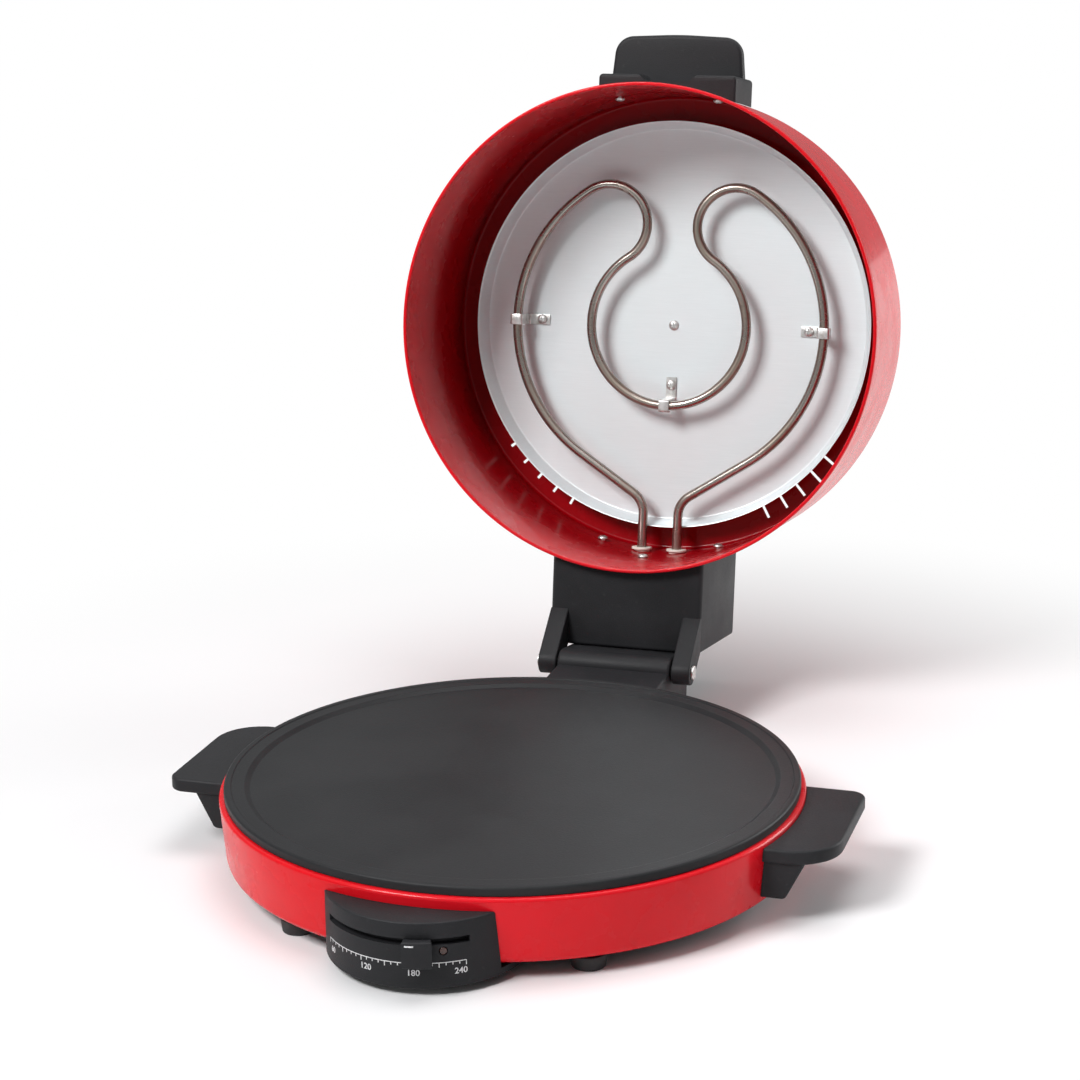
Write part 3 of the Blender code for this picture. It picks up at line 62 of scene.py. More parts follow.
PLATE_LOW, PLATE_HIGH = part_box("cooking_plate")
SHELL_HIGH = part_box("base_shell")[1]
KNOB_LOW, KNOB_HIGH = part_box("temperature_knob")
KNOB_MIDDLE = (KNOB_LOW + KNOB_HIGH) / 2 - PIVOT
LEVER_REST = atan2(KNOB_MIDDLE.x, -KNOB_MIDDLE.y)
LIP_MIDDLE = Vector((0, (PLATE_LOW.y + PLATE_HIGH.y) / 2, SHELL_HIGH.z))
FLOOR = -LIP_MIDDLE.z

# Shared sizes
GAP = 0.0003
OVERRUN = 0.004
WELD = 0.000001
ROUND = 192
SMALL_ROUND = 40
SHARP = radians(32.0)
CURVE_SLACK = 0.0011

# Base shell, cover and feet
LIP_R = 0.165
SHELL_FOOT_R = 0.162
SHELL_H = 0.0373
SHELL_T = 0.001
LIP_BEND_R = 0.0016
SHELL_BEND_R = 0.004
LEDGE_R = 0.157
FLANGE_R = 0.140
COVER_R = 0.156
COVER_T = 0.001
COVER_RIB_R = 0.120
COVER_RIB_W = 0.004
COVER_RIB_H = 0.0005
FOOT_R = 0.009
FOOT_TOP_R = 0.0100
FOOT_H = 0.008
FOOT_CIRCLE_R = 0.148
FOOT_ANGLE = radians(33.0)
FOOT_BORE_R = 0.0026
FOOT_COUNTER_R = 0.0052
FOOT_COUNTER_H = 0.0042

# Cooking plate
PLATE_R = 0.162
PLATE_RISE = 0.0053
PLATE_EDGE_R = 0.0016
PLATE_LAND_R = 0.1505
PLATE_DISH = 0.0025
PLATE_SLOPE = 0.0030
PLATE_UNDER = -0.0042
PLATE_LIP_IN = 0.0038
PLATE_LIP_STEP = 0.0006

# Control housing, its slot and print, the knob and the pilot lens
DRUM_R = 0.054
DRUM_TOP = -0.0065
DRUM_BOTTOM = -0.0428
DRUM_EDGE = 0.0010
SLOT_Z = -0.017
SLOT_H = 0.0036
SLOT_DEPTH = 0.004
DIAL_MID = radians(-4.0)
DIAL_HALF = radians(46.3)
WINDOW_HALF = 0.043
WINDOW_TOP = -0.008
WINDOW_SILL = -0.033
PRINT_T = 0.00008
PRINT_LIFT = PRINT_T * 0.2
SCALE_Z = -0.0284
SCALE_W = 0.00045
SCALE_FIRST = radians(-50.0)
SCALE_LAST = radians(40.0)
TICK_COUNT = 25
TICKS_TO_LONG = 4
TICK_L = 0.0016
TICK_LONG = 0.0026
NUMERAL_Z = -0.0352
NUMERAL_SIZE = 0.0046
NUMERAL_BOLD = NUMERAL_SIZE * 0.012
NUMERALS = (("60", -46.0), ("120", -17.0), ("180", 11.0), ("240", 37.0))
KNOB_W = 0.0157
KNOB_GAP = 0.0005
KNOB_DEPTH = 0.0055
KNOB_ABOVE = 0.0022
KNOB_BELOW = 0.0122
KNOB_EDGE = 0.0010
INDEX_L = 0.0042
INDEX_Z = -0.0168
INDEX_TURN = radians(-3.6)
LAMP_TURN = radians(27.5)
LAMP_Z = -0.0221
LENS_R = 0.0021
LENS_DEPTH = 0.0040

# Side handles
HANDLE_OUT = 0.1945
HANDLE_TIGHT_Y = 0.042
HANDLE_WIDE_Y = 0.053
HANDLE_TIGHT_R = 0.009
HANDLE_WIDE_R = 0.026
WEB_TOE_R = 0.003
HANDLE_TOP = 0.003
HANDLE_T = 0.008
HANDLE_EDGE = 0.0016
WEB_INSET = 0.002
WEB_UPPER = 0.179
WEB_LOWER = 0.1675
WEB_BOTTOM = 0.032
HANDLE_ROOT = 0.120

# Screws
HEAD_R = 0.0034
HEAD_H = 0.0018
CROWN_R = HEAD_R * 1.6
CROWN_EDGE = radians(56.0)
SHANK_R = 0.0016
CROSS_L = 0.0040
CROSS_W = 0.0009
CROSS_DEPTH = 0.0011
SCREW_L = 0.006

# Hinge bracket, pin and gland
HINGE_Y = HINGE.y - LIP_MIDDLE.y
HINGE_Z = HINGE.z - LIP_MIDDLE.z
PIN_R = 0.003
PIN_HEAD_R = 0.0045
PIN_HEAD_T = 0.0012
BRACKET_ROOT = 0.120
BRACKET_HALF = 0.037
BRACKET_TOP = 0.003
BRACKET_REACH = 0.040
BRACKET_WALL = 0.0035
BRACKET_FRONT_WALL = 0.007
BRACKET_ROOF = 0.0075
BRACKET_EDGE = 0.0018
BRACKET_RIB = 0.003
KNUCKLE_START = radians(175.0)
HEEL_LEAN = 0.004
GLAND_TURN = radians(30.0)
GLAND_Z = -0.020
GLAND_R = 0.0056
GLAND_FLANGE_R = 0.008
GLAND_FLANGE_T = 0.002
GLAND_BORE_R = 0.0036

# Lid shell
RIM_Z = PLATE_RISE + GAP
LID_R = 0.155
LID_TOP_R = 0.1519
LID_H = 0.110
LID_T = 0.0008
LID_BEND_R = 0.003
RIM_T = 0.0022
RIM_H = 0.004
RIM_ROUND = 0.0009
LID_WALL_R = LID_R - (RIM_T - LID_T) / 2
# How deep into the lid the painted shade and heat film on the inner wall reach.
LID_DARK_DEPTH = 0.075
VENT_IN = 0.132
VENT_OUT = 0.1435
VENT_W = 0.0018
VENT_FIRST = radians(29.0)
VENT_STEP = radians(5.75)
VENT_COUNT = 5

# Reflector, upper element and its clips and bushes
REFLECTOR_Z = 0.104
REFLECTOR_FLOOR_R = 0.1305
REFLECTOR_LIP_R = 0.135
REFLECTOR_FLANGE = 0.011
REFLECTOR_T = 0.0006
REFLECTOR_BEND_R = 0.0015
REFLECTOR_CURL_R = 0.0009
UPPER_Z = 0.0885
UPPER_TUBE_R = 0.00315
UPPER_OUTER_R = 0.105
UPPER_INNER_R = 0.053
UPPER_LOOP = radians(33.0)
UPPER_LEG_X = 0.012
UPPER_LEG_END = 0.166
UPPER_JOIN = radians(33.0)
UPPER_BEND_R = 0.016
PATH_STEP = 0.0015
CLIP_T = 0.0008
CLIP_W = 0.007
CLIP_BEND_R = 0.0012
CLIP_FOOT = 0.0145
CLIP_SCREW_SIDE = 0.013
CLIP_HOOK = 0.005
BUSH_R = 0.0052
BUSH_FLANGE_R = 0.0068
BUSH_FLANGE_T = 0.0016
BUSH_L = 0.007

# Lid handle and hinge block
GRIP_HALF = 0.046
GRIP_OUT = 0.163
GRIP_LOW = 0.059
GRIP_HIGH = 0.1065
GRIP_EDGE = 0.0018
GRIP_CORNER_R = 0.0027
TAB_HALF = 0.0445
TAB_TIP_HALF = 0.0420
TAB_BOW = 0.0018
TAB_BOW_R = 0.25
TAB_OUT = 0.1905
TAB_Z = 0.0845
TAB_T = 0.008
TAB_R = 0.0125
TAB_EDGE = 0.0026
RECESS_HALF = 0.0195
RECESS_FLOOR_HALF = 0.0145
RECESS_DEPTH = 0.0042
RECESS_HIGH = 0.0805
GRIP_SCREW_X = 0.033
GRIP_SCREW_Z = 0.066
GRIP_ROOT = 0.120
BLOCK_HALF = 0.050
BLOCK_OUT = 0.205
BLOCK_LOW = 0.008
BLOCK_HIGH = 0.104
BLOCK_EDGE = 0.0020
BLOCK_CORNER_R = 0.0030
BLOCK_ROOT = 0.130
LUG_T = 0.012
LUG_R = 0.0082
LUG_FRONT = 0.182
LUG_RISE = 0.003
LUG_EDGE = GAP * 3
BLOCK_SCREWS = ((-0.040, 0.091), (-0.004, 0.062), (0.040, 0.091))

# The camera: turned round Z from the front, raised, rolled, at a distance from its target
CAMERA_TURN = radians(17.63)
CAMERA_RISE = radians(16.22)
CAMERA_ROLL = radians(-0.89)
CAMERA_AWAY = 1.439
CAMERA_AIM = LIP_MIDDLE + Vector((0.0183, 0, 0.1421))
CAMERA_FOCAL_PX = 2631
PHOTO_PX = 1080
SENSOR_MM = 36

# Placing matrices
moved = Matrix.Translation


def turned(angle, axis):
    return Matrix.Rotation(angle, 4, axis)


def facing(direction):
    """A turn that carries Z to a direction."""
    return direction.to_track_quat("Z", "Y").to_matrix().to_4x4()


BASE = moved(LIP_MIDDLE)
DRUM = moved(PIVOT)
LEVER = DRUM @ turned(LEVER_REST, "Z")
TIP = moved(HINGE) @ turned(-OPEN, "X") @ moved(-HINGE)
LID = TIP @ BASE @ moved((0, 0, RIM_Z))
ALONG_X = Matrix(((0, 0, 1, 0), (1, 0, 0, 0), (0, 1, 0, 0), (0, 0, 0, 1)))
ALONG_Y = Matrix(((1, 0, 0, 0), (0, 0, 1, 0), (0, 1, 0, 0), (0, 0, 0, 1)))


# Mesh building

def shown(name, data):
    """A new object in the scene that holds the data."""
    made = bpy.data.objects.new(name, data)
    bpy.context.scene.collection.objects.link(made)
    return made


def solid(name, points, faces, place):
    """A mesh object from points and faces, welded, with its faces turned outwards."""
    mesh = bpy.data.meshes.new(name)
    mesh.from_pydata(points.reshape(-1, 3).tolist(), [], faces)
    mesh.transform(place)
    bm = bmesh.new()
    bm.from_mesh(mesh)
    bmesh.ops.remove_doubles(bm, verts=bm.verts, dist=WELD)
    loose = [edge for edge in bm.edges if not edge.link_faces]
    bmesh.ops.delete(bm, geom=loose, context="EDGES")
    bmesh.ops.recalc_face_normals(bm, faces=bm.faces)
    bm.to_mesh(mesh)
    bm.free()
    return shown(name, mesh)


def grid(rows, columns, close_rows):
    """Quads between the points of a grid whose columns close on themselves."""
    runs = rows if close_rows else rows - 1
    i, j = np.meshgrid(np.arange(runs), np.arange(columns), indexing="ij")
    below, beside = (i + 1) % rows, (j + 1) % columns
    corners = (i * columns + j, below * columns + j, below * columns + beside, i * columns + beside)
    return np.stack(corners, -1).reshape(-1, 4).tolist()


def capped(name, rings, place):
    """A skin over closed rings of points, with a flat polygon on the first and the last."""
    rows, columns = rings.shape[:2]
    last = (rows - 1) * columns
    ends = [list(range(columns))[::-1], list(range(last, last + columns))]
    return solid(name, rings, grid(rows, columns, False) + ends, place)


def lathe(name, outline, place, steps=ROUND):
    """Each outline point (r, z) runs round Z as (r cos a, r sin a, z)."""
    turn = np.linspace(0, 2 * pi, steps, endpoint=False)
    r, z = np.array(outline)[:, 0, None], np.array(outline)[:, 1, None]
    rings = np.stack([r * np.cos(turn), r * np.sin(turn), z + 0 * turn], -1)
    return solid(name, rings, grid(len(rings), steps, True), place)


def directions(path, closed):
    """Unit steps into and out of each point of a flat path."""
    onward = np.roll(path, -1, 0) - path
    if not closed:
        onward[-1] = onward[-2]
    onward /= np.linalg.norm(onward, axis=1, keepdims=True)
    back = np.roll(onward, 1, 0)
    if not closed:
        back[0] = onward[0]
    return back, onward


def shifted(path, distance, closed=True):
    """A flat path moved sideways, each point along the mean of its two normals, mitred."""
    back, onward = directions(path, closed)
    mean = back + onward
    mean /= np.linalg.norm(mean, axis=1, keepdims=True)
    side = np.stack([-mean[:, 1], mean[:, 0]], 1)
    square = np.stack([-back[:, 1], back[:, 0]], 1)
    return path + side * (distance / np.sum(side * square, 1))[:, None]


def anticlockwise(outline):
    """Turned round where the area, half the sum of x y' - x' y over the sides, is below 0."""
    x, y = outline.T
    twice_area = np.sum(x * np.roll(y, -1) - np.roll(x, -1) * y)
    return outline if twice_area > 0 else outline[::-1]


def pillow(name, outline, low, high, edge, place, steps=4):
    """An outline pushed along Z. Near its ends it draws in by edge(1 - sin a) while it rises
    by edge(1 - cos a), which rounds its edges."""
    outline = anticlockwise(np.array(outline, float))
    turn = np.linspace(0, pi / 2, steps + 1)
    inset = edge * (1 - np.sin(turn))
    rise = edge * (1 - np.cos(turn))
    levels = list(zip(inset, low + rise)) + list(zip(inset[::-1], high - rise[::-1]))
    rings = [np.insert(shifted(outline, inward), 2, z, 1) for inward, z in levels]
    return capped(name, np.array(rings), place)


def tube(name, path, radius, place, sides=24):
    """A circle carried along a flat path: path + radius (cos a side + sin a up)."""
    back, onward = directions(path, False)
    side = back + onward
    side /= np.linalg.norm(side, axis=1, keepdims=True)
    turn = np.linspace(0, 2 * pi, sides, endpoint=False)
    rings = np.zeros((len(path), sides, 3))
    rings[..., 0] = path[:, 0, None] + radius * np.cos(turn) * -side[:, 1, None]
    rings[..., 1] = path[:, 1, None] + radius * np.cos(turn) * side[:, 0, None]
    rings[..., 2] = radius * np.sin(turn)
    return capped(name, rings, place)


def arc(middle, radius, start, end, steps):
    """Points (x + r cos a, y + r sin a) from one angle to another."""
    turn = np.linspace(start, end, steps + 1)
    return np.stack([middle[0] + radius * np.cos(turn), middle[1] + radius * np.sin(turn)], 1)


def rounded(corners, radii, steps=8):
    """Corner points with arcs of the given radii in their place, 0 for a sharp one. An arc's
    middle lies r / sin(half the corner's angle) along the line that halves the corner."""
    runs = []
    for k, (x, y) in enumerate(corners):
        corner = Vector((x, y))
        back = (Vector(corners[k - 1]) - corner).normalized()
        onward = (Vector(corners[(k + 1) % len(corners)]) - corner).normalized()
        if radii[k] == 0:
            runs.append(np.array([corner]))
            continue
        half = back.angle(onward) / 2
        middle = corner + (back + onward).normalized() * radii[k] / sin(half)
        first = corner + back * radii[k] / tan(half) - middle
        last = corner + onward * radii[k] / tan(half) - middle
        sweep = first.angle(last)
        share = np.linspace(0, 1, steps + 1)
        weights = np.sin(np.stack([1 - share, share], 1) * sweep)
        blend = weights @ np.array([first, last])
        runs.append(np.array(middle) + blend / sin(sweep))
    return np.concatenate(runs)


def sheet(path, thickness):
    """The closed outline of a sheet whose middle runs along an open path."""
    left = shifted(path, thickness / 2, False)
    return np.concatenate([left, shifted(path, -thickness / 2, False)[::-1]])


def box_outline(x0, y0, x1, y1):
    """The four corners between two opposite ones."""
    return np.array(((x0, y0), (x1, y0), (x1, y1), (x0, y1)), float)


def carve(target, *jobs):
    """Runs Booleans on a piece, keeps the result as its mesh and removes the tools."""
    for operation, tool in jobs:
        cut = target.modifiers.new("carve", "BOOLEAN")
        cut.operation = operation
        cut.solver = "EXACT"
        cut.object = tool
    bpy.context.view_layer.update()
    graph = bpy.context.evaluated_depsgraph_get()
    mesh = bpy.data.meshes.new_from_object(target.evaluated_get(graph))
    target.modifiers.clear()
    target.data = mesh
    for _, tool in jobs:
        bpy.data.objects.remove(tool)
    return target


def chord(x, radius):
    """How far a circle reaches at a distance x from its middle."""
    return sqrt(radius * radius - x * x)


def lid_r(z):
    """The lid's outer radius, which narrows evenly with the height over its rim."""
    return LID_WALL_R + (LID_TOP_R - LID_WALL_R) * z / LID_H


def shell_r(z):
    """The red shell's outer radius, which narrows evenly below its lip."""
    return LIP_R + (SHELL_FOOT_R - LIP_R) * -z / SHELL_H


# Finishes

class Value:
    """An output of a node. Arithmetic on it adds Math nodes to the same tree."""

    def __init__(self, nodes, socket):
        self.nodes = nodes
        self.socket = socket

    def math(self, operation, first, second=0.0):
        return self.nodes.add("ShaderNodeMath", {"operation": operation}, {0: first, 1: second})

    def __add__(self, other):
        return self.math("ADD", self, other)

    def __radd__(self, other):
        return self.math("ADD", other, self)

    def __sub__(self, other):
        return self.math("SUBTRACT", self, other)

    def __rsub__(self, other):
        return self.math("SUBTRACT", other, self)

    def __mul__(self, other):
        return self.math("MULTIPLY", self, other)

    def __rmul__(self, other):
        return self.math("MULTIPLY", other, self)

    def sine(self):
        return self.math("SINE", self)

    def root(self):
        return self.math("SQRT", self)

    def between(self, low, high):
        """0 below low, 1 above high, and a smooth rise from one to the other."""
        ends = {0: self, 1: low, 2: high}
        return self.nodes.add("ShaderNodeMapRange", {"interpolation_type": "SMOOTHSTEP"}, ends)


class Nodes:
    """A node tree that nodes are added to by kind."""

    def __init__(self, tree):
        self.tree = tree

    def add(self, kind, settings=None, inputs=None, output=0):
        """Any node: its settings are set first, then the values or links of its sockets."""
        node = self.tree.nodes.new(kind)
        for key, setting in (settings or {}).items():
            setattr(node, key, setting)
        for key, given in (inputs or {}).items():
            self.feed(node.inputs[key], given)
        return Value(self, node.outputs[output])

    def feed(self, socket, given):
        if isinstance(given, Value):
            self.tree.links.new(given.socket, socket)
        else:
            socket.default_value = given

    def split(self, vector, axes="XYZ"):
        return [self.add("ShaderNodeSeparateXYZ", None, {0: vector}, axis) for axis in axes]


class Paint(Nodes):
    """A material: one Principled shader and the nodes that feed it."""

    def __init__(self, name, colour, roughness, metallic=0.0, **even):
        self.material = bpy.data.materials.new(name)
        self.material.use_nodes = True
        super().__init__(self.material.node_tree)
        self.shader = self.tree.nodes["Principled BSDF"]
        self.set("Base Color", (*colour, 1.0))
        self.set("Roughness", roughness)
        self.set("Metallic", metallic)
        for words, amount in even.items():
            self.set(words.replace("_", " ").title().replace("Ior", "IOR"), amount)

    def set(self, socket, given):
        """Gives a value or a link to one of the Principled shader's own sockets."""
        self.feed(self.shader.inputs[socket], given)

    def colour(self, factor, *colours):
        self.set("Base Color", self.mix(factor, *colours))

    def here(self, stretch=(1, 1, 1), shift=(0, 0, 0)):
        """Object coordinates, moved and stretched."""
        object_place = self.add("ShaderNodeTexCoord", output="Object")
        given = {"Vector": object_place, "Scale": stretch, "Location": shift}
        return self.add("ShaderNodeMapping", {"vector_type": "POINT"}, given)

    def noise(self, scale, detail=2.0, where=None):
        given = {"Vector": where or self.here(), "Scale": scale, "Detail": detail}
        return self.add("ShaderNodeTexNoise", None, given)

    def cells(self, scale, where=None):
        given = {"Vector": where or self.here(), "Scale": scale}
        return self.add("ShaderNodeTexVoronoi", None, given)

    def mix(self, factor, *colours):
        first, second = [(*c, 1.0) if isinstance(c, tuple) else c for c in colours]
        given = {0: factor, 6: first, 7: second}
        return self.add("ShaderNodeMix", {"data_type": "RGBA"}, given, 2)

    def bump(self, height, distance, strength=1.0):
        given = {"Height": height, "Distance": distance, "Strength": strength}
        self.set("Normal", self.add("ShaderNodeBump", None, given))

    def radius(self, middle):
        """The distance from an upright axis."""
        x, y = self.split(self.here(shift=(-middle.x, -middle.y, 0)), "XY")
        return (x * x + y * y).root()


def enamel(name, shade_and_heat_share=None):
    """Glossy red over pressed steel: faint orange peel, a slow drift of tone, a clear coat.
    Its last argument works out where, from 0 to 1, the red is deepened as painted shade with some heat film."""
    even = {"coat_weight": 0.22, "coat_roughness": 0.05, "specular_ior_level": 0.1}
    paint = Paint(name, (0.70, 0.006, 0.014), 0.30, **even)
    drift = paint.noise(9.0, 2.0).between(0.35, 0.65)
    plain = paint.mix(drift, (0.66, 0.004, 0.010), (0.74, 0.007, 0.016))
    if shade_and_heat_share:
        # The dark red here is painted shade on the lid's inner wall, with some heat film.
        plain = paint.mix(shade_and_heat_share(paint), plain, (0.33, 0.001, 0.005))
    paint.set("Base Color", plain)
    smear = paint.noise(40.0, 4.0).between(0.35, 0.8)
    paint.set("Roughness", 0.24 + smear * 0.10)
    paint.bump(paint.noise(420.0, 1.0), 0.00002)
    return paint.material


def red_enamel():
    return enamel("red_enamel")


def lid_painted_shade_and_heat_film(paint):
    """1 deep on the lid's inner wall, where the red is darkened as painted shade with some heat film, and 0
    outside it.
    """
    where = paint.add("ShaderNodeTexCoord", output="Object")
    turn, place = LID.to_euler(), LID.translation
    given = {"Vector": where, "Location": place, "Rotation": turn}
    x, y, z = paint.split(paint.add("ShaderNodeMapping", {"vector_type": "TEXTURE"}, given))
    wall = LID_WALL_R - LID_T / 2 + z * ((LID_TOP_R - LID_WALL_R) / LID_H)
    within = (wall - (x * x + y * y).root()).between(0.0, LID_T / 4)
    return within * z.between(RIM_H, LID_DARK_DEPTH)


# Red enamel whose inner wall is darkened as painted shade with some heat film.
def lid_enamel_painted_shade_and_heat_film():
    return enamel("lid_enamel_painted_shade_and_heat_film", lid_painted_shade_and_heat_film)


def black_plastic():
    """Moulded black plastic: a fine spark grain, a slow drift of gloss, pale dust in places."""
    paint = Paint("black_plastic", (0.017, 0.017, 0.019), 0.45, specular_ior_level=0.18)
    grain = paint.cells(1500.0)
    drift = paint.noise(22.0, 3.0).between(0.3, 0.75)
    dust = paint.noise(260.0, 3.0).between(0.60, 0.85)
    plain = paint.mix(drift, (0.015, 0.0155, 0.017), (0.022, 0.022, 0.0245))
    paint.colour(dust * 0.3, plain, (0.05, 0.05, 0.052))
    paint.set("Roughness", 0.40 + drift * 0.12 + grain * 0.10)
    paint.bump(grain, 0.00008, 0.6)
    return paint.material


def non_stick():
    """Dark non-stick coat on a casting: fine pebble, faint turning rings, tiny pale flecks."""
    paint = Paint("non_stick", (0.020, 0.020, 0.022), 0.42, specular_ior_level=0.14)
    pebble = paint.noise(900.0, 3.0)
    rings = (paint.radius(LIP_MIDDLE) * 5200.0).sine()
    fleck = paint.cells(620.0).between(0.10, 0.03)
    drift = paint.noise(14.0, 3.0).between(0.3, 0.7)
    plain = paint.mix(drift, (0.017, 0.0175, 0.019), (0.025, 0.0255, 0.027))
    paint.colour(fleck * 0.4, plain, (0.08, 0.08, 0.084))
    paint.set("Roughness", 0.36 + drift * 0.10 + pebble * 0.08)
    paint.bump(pebble + rings * 0.06, 0.00012, 0.7)
    return paint.material


def bare_aluminium():
    """Bright rolled aluminium: long fine streaks, a slight haze, a little straw heat tint."""
    paint = Paint("bare_aluminium", (0.86, 0.87, 0.88), 0.38, 0.35)
    streak = paint.noise(60.0, 4.0, paint.here((1, 1, 34)))
    haze = paint.noise(16.0, 3.0).between(0.3, 0.7)
    plain = paint.mix(streak, (0.76, 0.83, 0.85), (0.84, 0.91, 0.93))
    paint.colour(haze * 0.12, plain, (0.76, 0.79, 0.76))
    paint.set("Roughness", 0.34 + streak * 0.14)
    paint.bump(streak, 0.00002, 0.5)
    return paint.material


def element_steel():
    """Heated steel sheath: warm grey that drifts to straw and brown, with drawn-tube grain."""
    paint = Paint("element_steel", (0.34, 0.31, 0.28), 0.30, 0.9)
    heat = paint.noise(26.0, 3.0).between(0.30, 0.72)
    soot = paint.noise(210.0, 4.0).between(0.55, 0.80)
    plain = paint.mix(heat, (0.40, 0.37, 0.34), (0.30, 0.255, 0.21))
    paint.colour(soot * 0.5, plain, (0.12, 0.10, 0.09))
    paint.set("Roughness", 0.22 + heat * 0.12 + soot * 0.10)
    paint.bump(paint.noise(700.0, 2.0), 0.00003, 0.6)
    return paint.material


def zinc():
    """Zinc plate: pale grey with a faint crystal mottle and a few dull spots."""
    paint = Paint("zinc", (0.62, 0.62, 0.60), 0.35, 0.9)
    mottle = paint.cells(420.0)
    dull = paint.noise(300.0, 3.0).between(0.45, 0.75)
    paint.colour(dull, (0.68, 0.68, 0.67), (0.46, 0.45, 0.42))
    paint.set("Roughness", 0.26 + mottle * 0.2 + dull * 0.15)
    paint.bump(mottle, 0.00002, 0.5)
    return paint.material


def dark_steel():
    """Coated steel sheet: dark grey with a light orange peel and rubbed spots."""
    paint = Paint("dark_steel", (0.10, 0.10, 0.11), 0.45, 0.5)
    rubbed = paint.noise(45.0, 4.0).between(0.5, 0.8)
    paint.colour(rubbed, (0.085, 0.085, 0.09), (0.17, 0.17, 0.175))
    paint.set("Roughness", 0.5 - rubbed * 0.12)
    paint.bump(paint.noise(500.0, 2.0), 0.00004, 0.6)
    return paint.material


def brass():
    """Turned brass with fine rings of tool marks and a brown film."""
    paint = Paint("brass", (0.72, 0.52, 0.22), 0.35, 0.9)
    film = paint.noise(240.0, 3.0).between(0.4, 0.75)
    paint.colour(film, (0.76, 0.56, 0.25), (0.50, 0.33, 0.14))
    paint.set("Roughness", 0.28 + film * 0.15)
    paint.bump(paint.noise(900.0, 2.0, paint.here((0.1, 0.1, 6))), 0.00002, 0.5)
    return paint.material


def ceramic():
    """Unglazed steatite: off-white, fine-grained, a little grubby."""
    paint = Paint("ceramic", (0.80, 0.77, 0.70), 0.6)
    grub = paint.noise(180.0, 4.0).between(0.5, 0.85)
    paint.colour(grub, (0.80, 0.77, 0.70), (0.60, 0.55, 0.47))
    paint.set("Roughness", 0.52 + grub * 0.15)
    paint.bump(paint.noise(1600.0, 2.0), 0.00003, 0.6)
    return paint.material


def rubber():
    """Moulded rubber: near black with a grey bloom and a soft grain."""
    paint = Paint("rubber", (0.022, 0.022, 0.023), 0.8)
    bloom = paint.noise(150.0, 3.0).between(0.45, 0.8)
    paint.colour(bloom, (0.020, 0.020, 0.021), (0.050, 0.049, 0.048))
    paint.set("Roughness", 0.72 + bloom * 0.16)
    paint.bump(paint.noise(1300.0, 2.0), 0.00006, 0.6)
    return paint.material


def amber_lens():
    """A small unlit lens in clear amber plastic, with faint prisms inside."""
    paint = Paint("amber_lens", (0.06, 0.018, 0.010), 0.2, ior=1.5, coat_weight=0.3)
    depth = paint.cells(900.0)
    paint.colour(depth, (0.075, 0.022, 0.012), (0.030, 0.010, 0.008))
    paint.bump(depth, 0.00003, 0.4)
    return paint.material


def clear_glass():
    """Pinkish glass of a neon lamp, slightly frosted."""
    paint = Paint("clear_glass", (0.85, 0.70, 0.60), 0.12, ior=1.46)
    frost = paint.noise(500.0, 2.0)
    paint.colour(frost, (0.85, 0.70, 0.60), (0.78, 0.60, 0.50))
    paint.set("Roughness", 0.08 + frost * 0.08)
    return paint.material


def white_print():
    """Pad-printed white: slightly thin and uneven."""
    paint = Paint("white_print", (0.74, 0.74, 0.74), 0.5)
    thin = paint.noise(900.0, 3.0).between(0.35, 0.75)
    paint.colour(thin, (0.78, 0.78, 0.79), (0.50, 0.50, 0.51))
    paint.set("Roughness", 0.45 + thin * 0.1)
    return paint.material


FINISHES = {
    make.__name__: make()
    for make in (
        red_enamel, lid_enamel_painted_shade_and_heat_film, black_plastic, non_stick, bare_aluminium, element_steel, zinc,
        dark_steel, brass, ceramic, rubber, amber_lens, clear_glass, white_print,
    )
}
SLOTS = {part["node"]: part["material_slot"] for part in frame["record"]["subparts"]}


def coat(made, finish_name):
    made.data.materials.clear()
    made.data.materials.append(FINISHES[finish_name])


def dress(made, finish_name):
    """Gives a new piece its finish, smooth but for its sharp edges."""
    coat(made, finish_name)
    made.data.shade_smooth()
    made.data.set_sharp_from_angle(angle=SHARP)


def stand_for(made, body, node):
    """Puts a new piece in place of a CAD node, on its body and in its finish."""
    slot = SLOTS[node]
    dress(made, slot)
    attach(made, body)
    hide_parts(node)
    return made


# Base pieces

def shell_space(name, low, high):
    """The space inside the red shell's outer wall, with a gap round it, as a cutter."""
    outline = [
        (0, low), (shell_r(low) + GAP, low), (LIP_R + GAP, 0), (LIP_R + GAP, high), (0, high),
    ]
    return lathe(name, outline, BASE)


def base_shell():
    """A ledge, a wall that narrows downwards and a flange, turned round Z, with a window."""
    half = SHELL_T / 2
    corners = [
        (LEDGE_R, -half), (LIP_R - half, -half),
        (SHELL_FOOT_R - half, half - SHELL_H), (FLANGE_R, half - SHELL_H),
    ]
    path = rounded(corners, [0, LIP_BEND_R, SHELL_BEND_R, 0])
    shell = lathe("red_shell", sheet(path, SHELL_T), BASE)
    window = box_outline(-WINDOW_HALF, WINDOW_SILL, WINDOW_HALF, WINDOW_TOP)
    cutter = pillow("window", window, -DRUM_R, 0, 0, DRUM @ ALONG_Y)
    carve(shell, ("DIFFERENCE", cutter))
    stand_for(shell, "base", "base_shell")


def bottom_cover():
    """A disc with a shallow pressed ring: its face moves by h sin(pi s) across the ring."""
    top = -SHELL_H - GAP
    under = top - COVER_T
    share = np.linspace(0, 1, 13)
    pressed = under + COVER_RIB_H * np.sin(pi * share)
    ring = np.stack([COVER_RIB_R + COVER_RIB_W * share, pressed], 1)
    edge = COVER_T / 4
    outline = np.concatenate([
        [(0, under)], ring,
        [(COVER_R - edge, under), (COVER_R, under + edge), (COVER_R, top), (0, top)],
    ])
    stand_for(lathe("cover_plate", outline, BASE), "base", "bottom_cover")


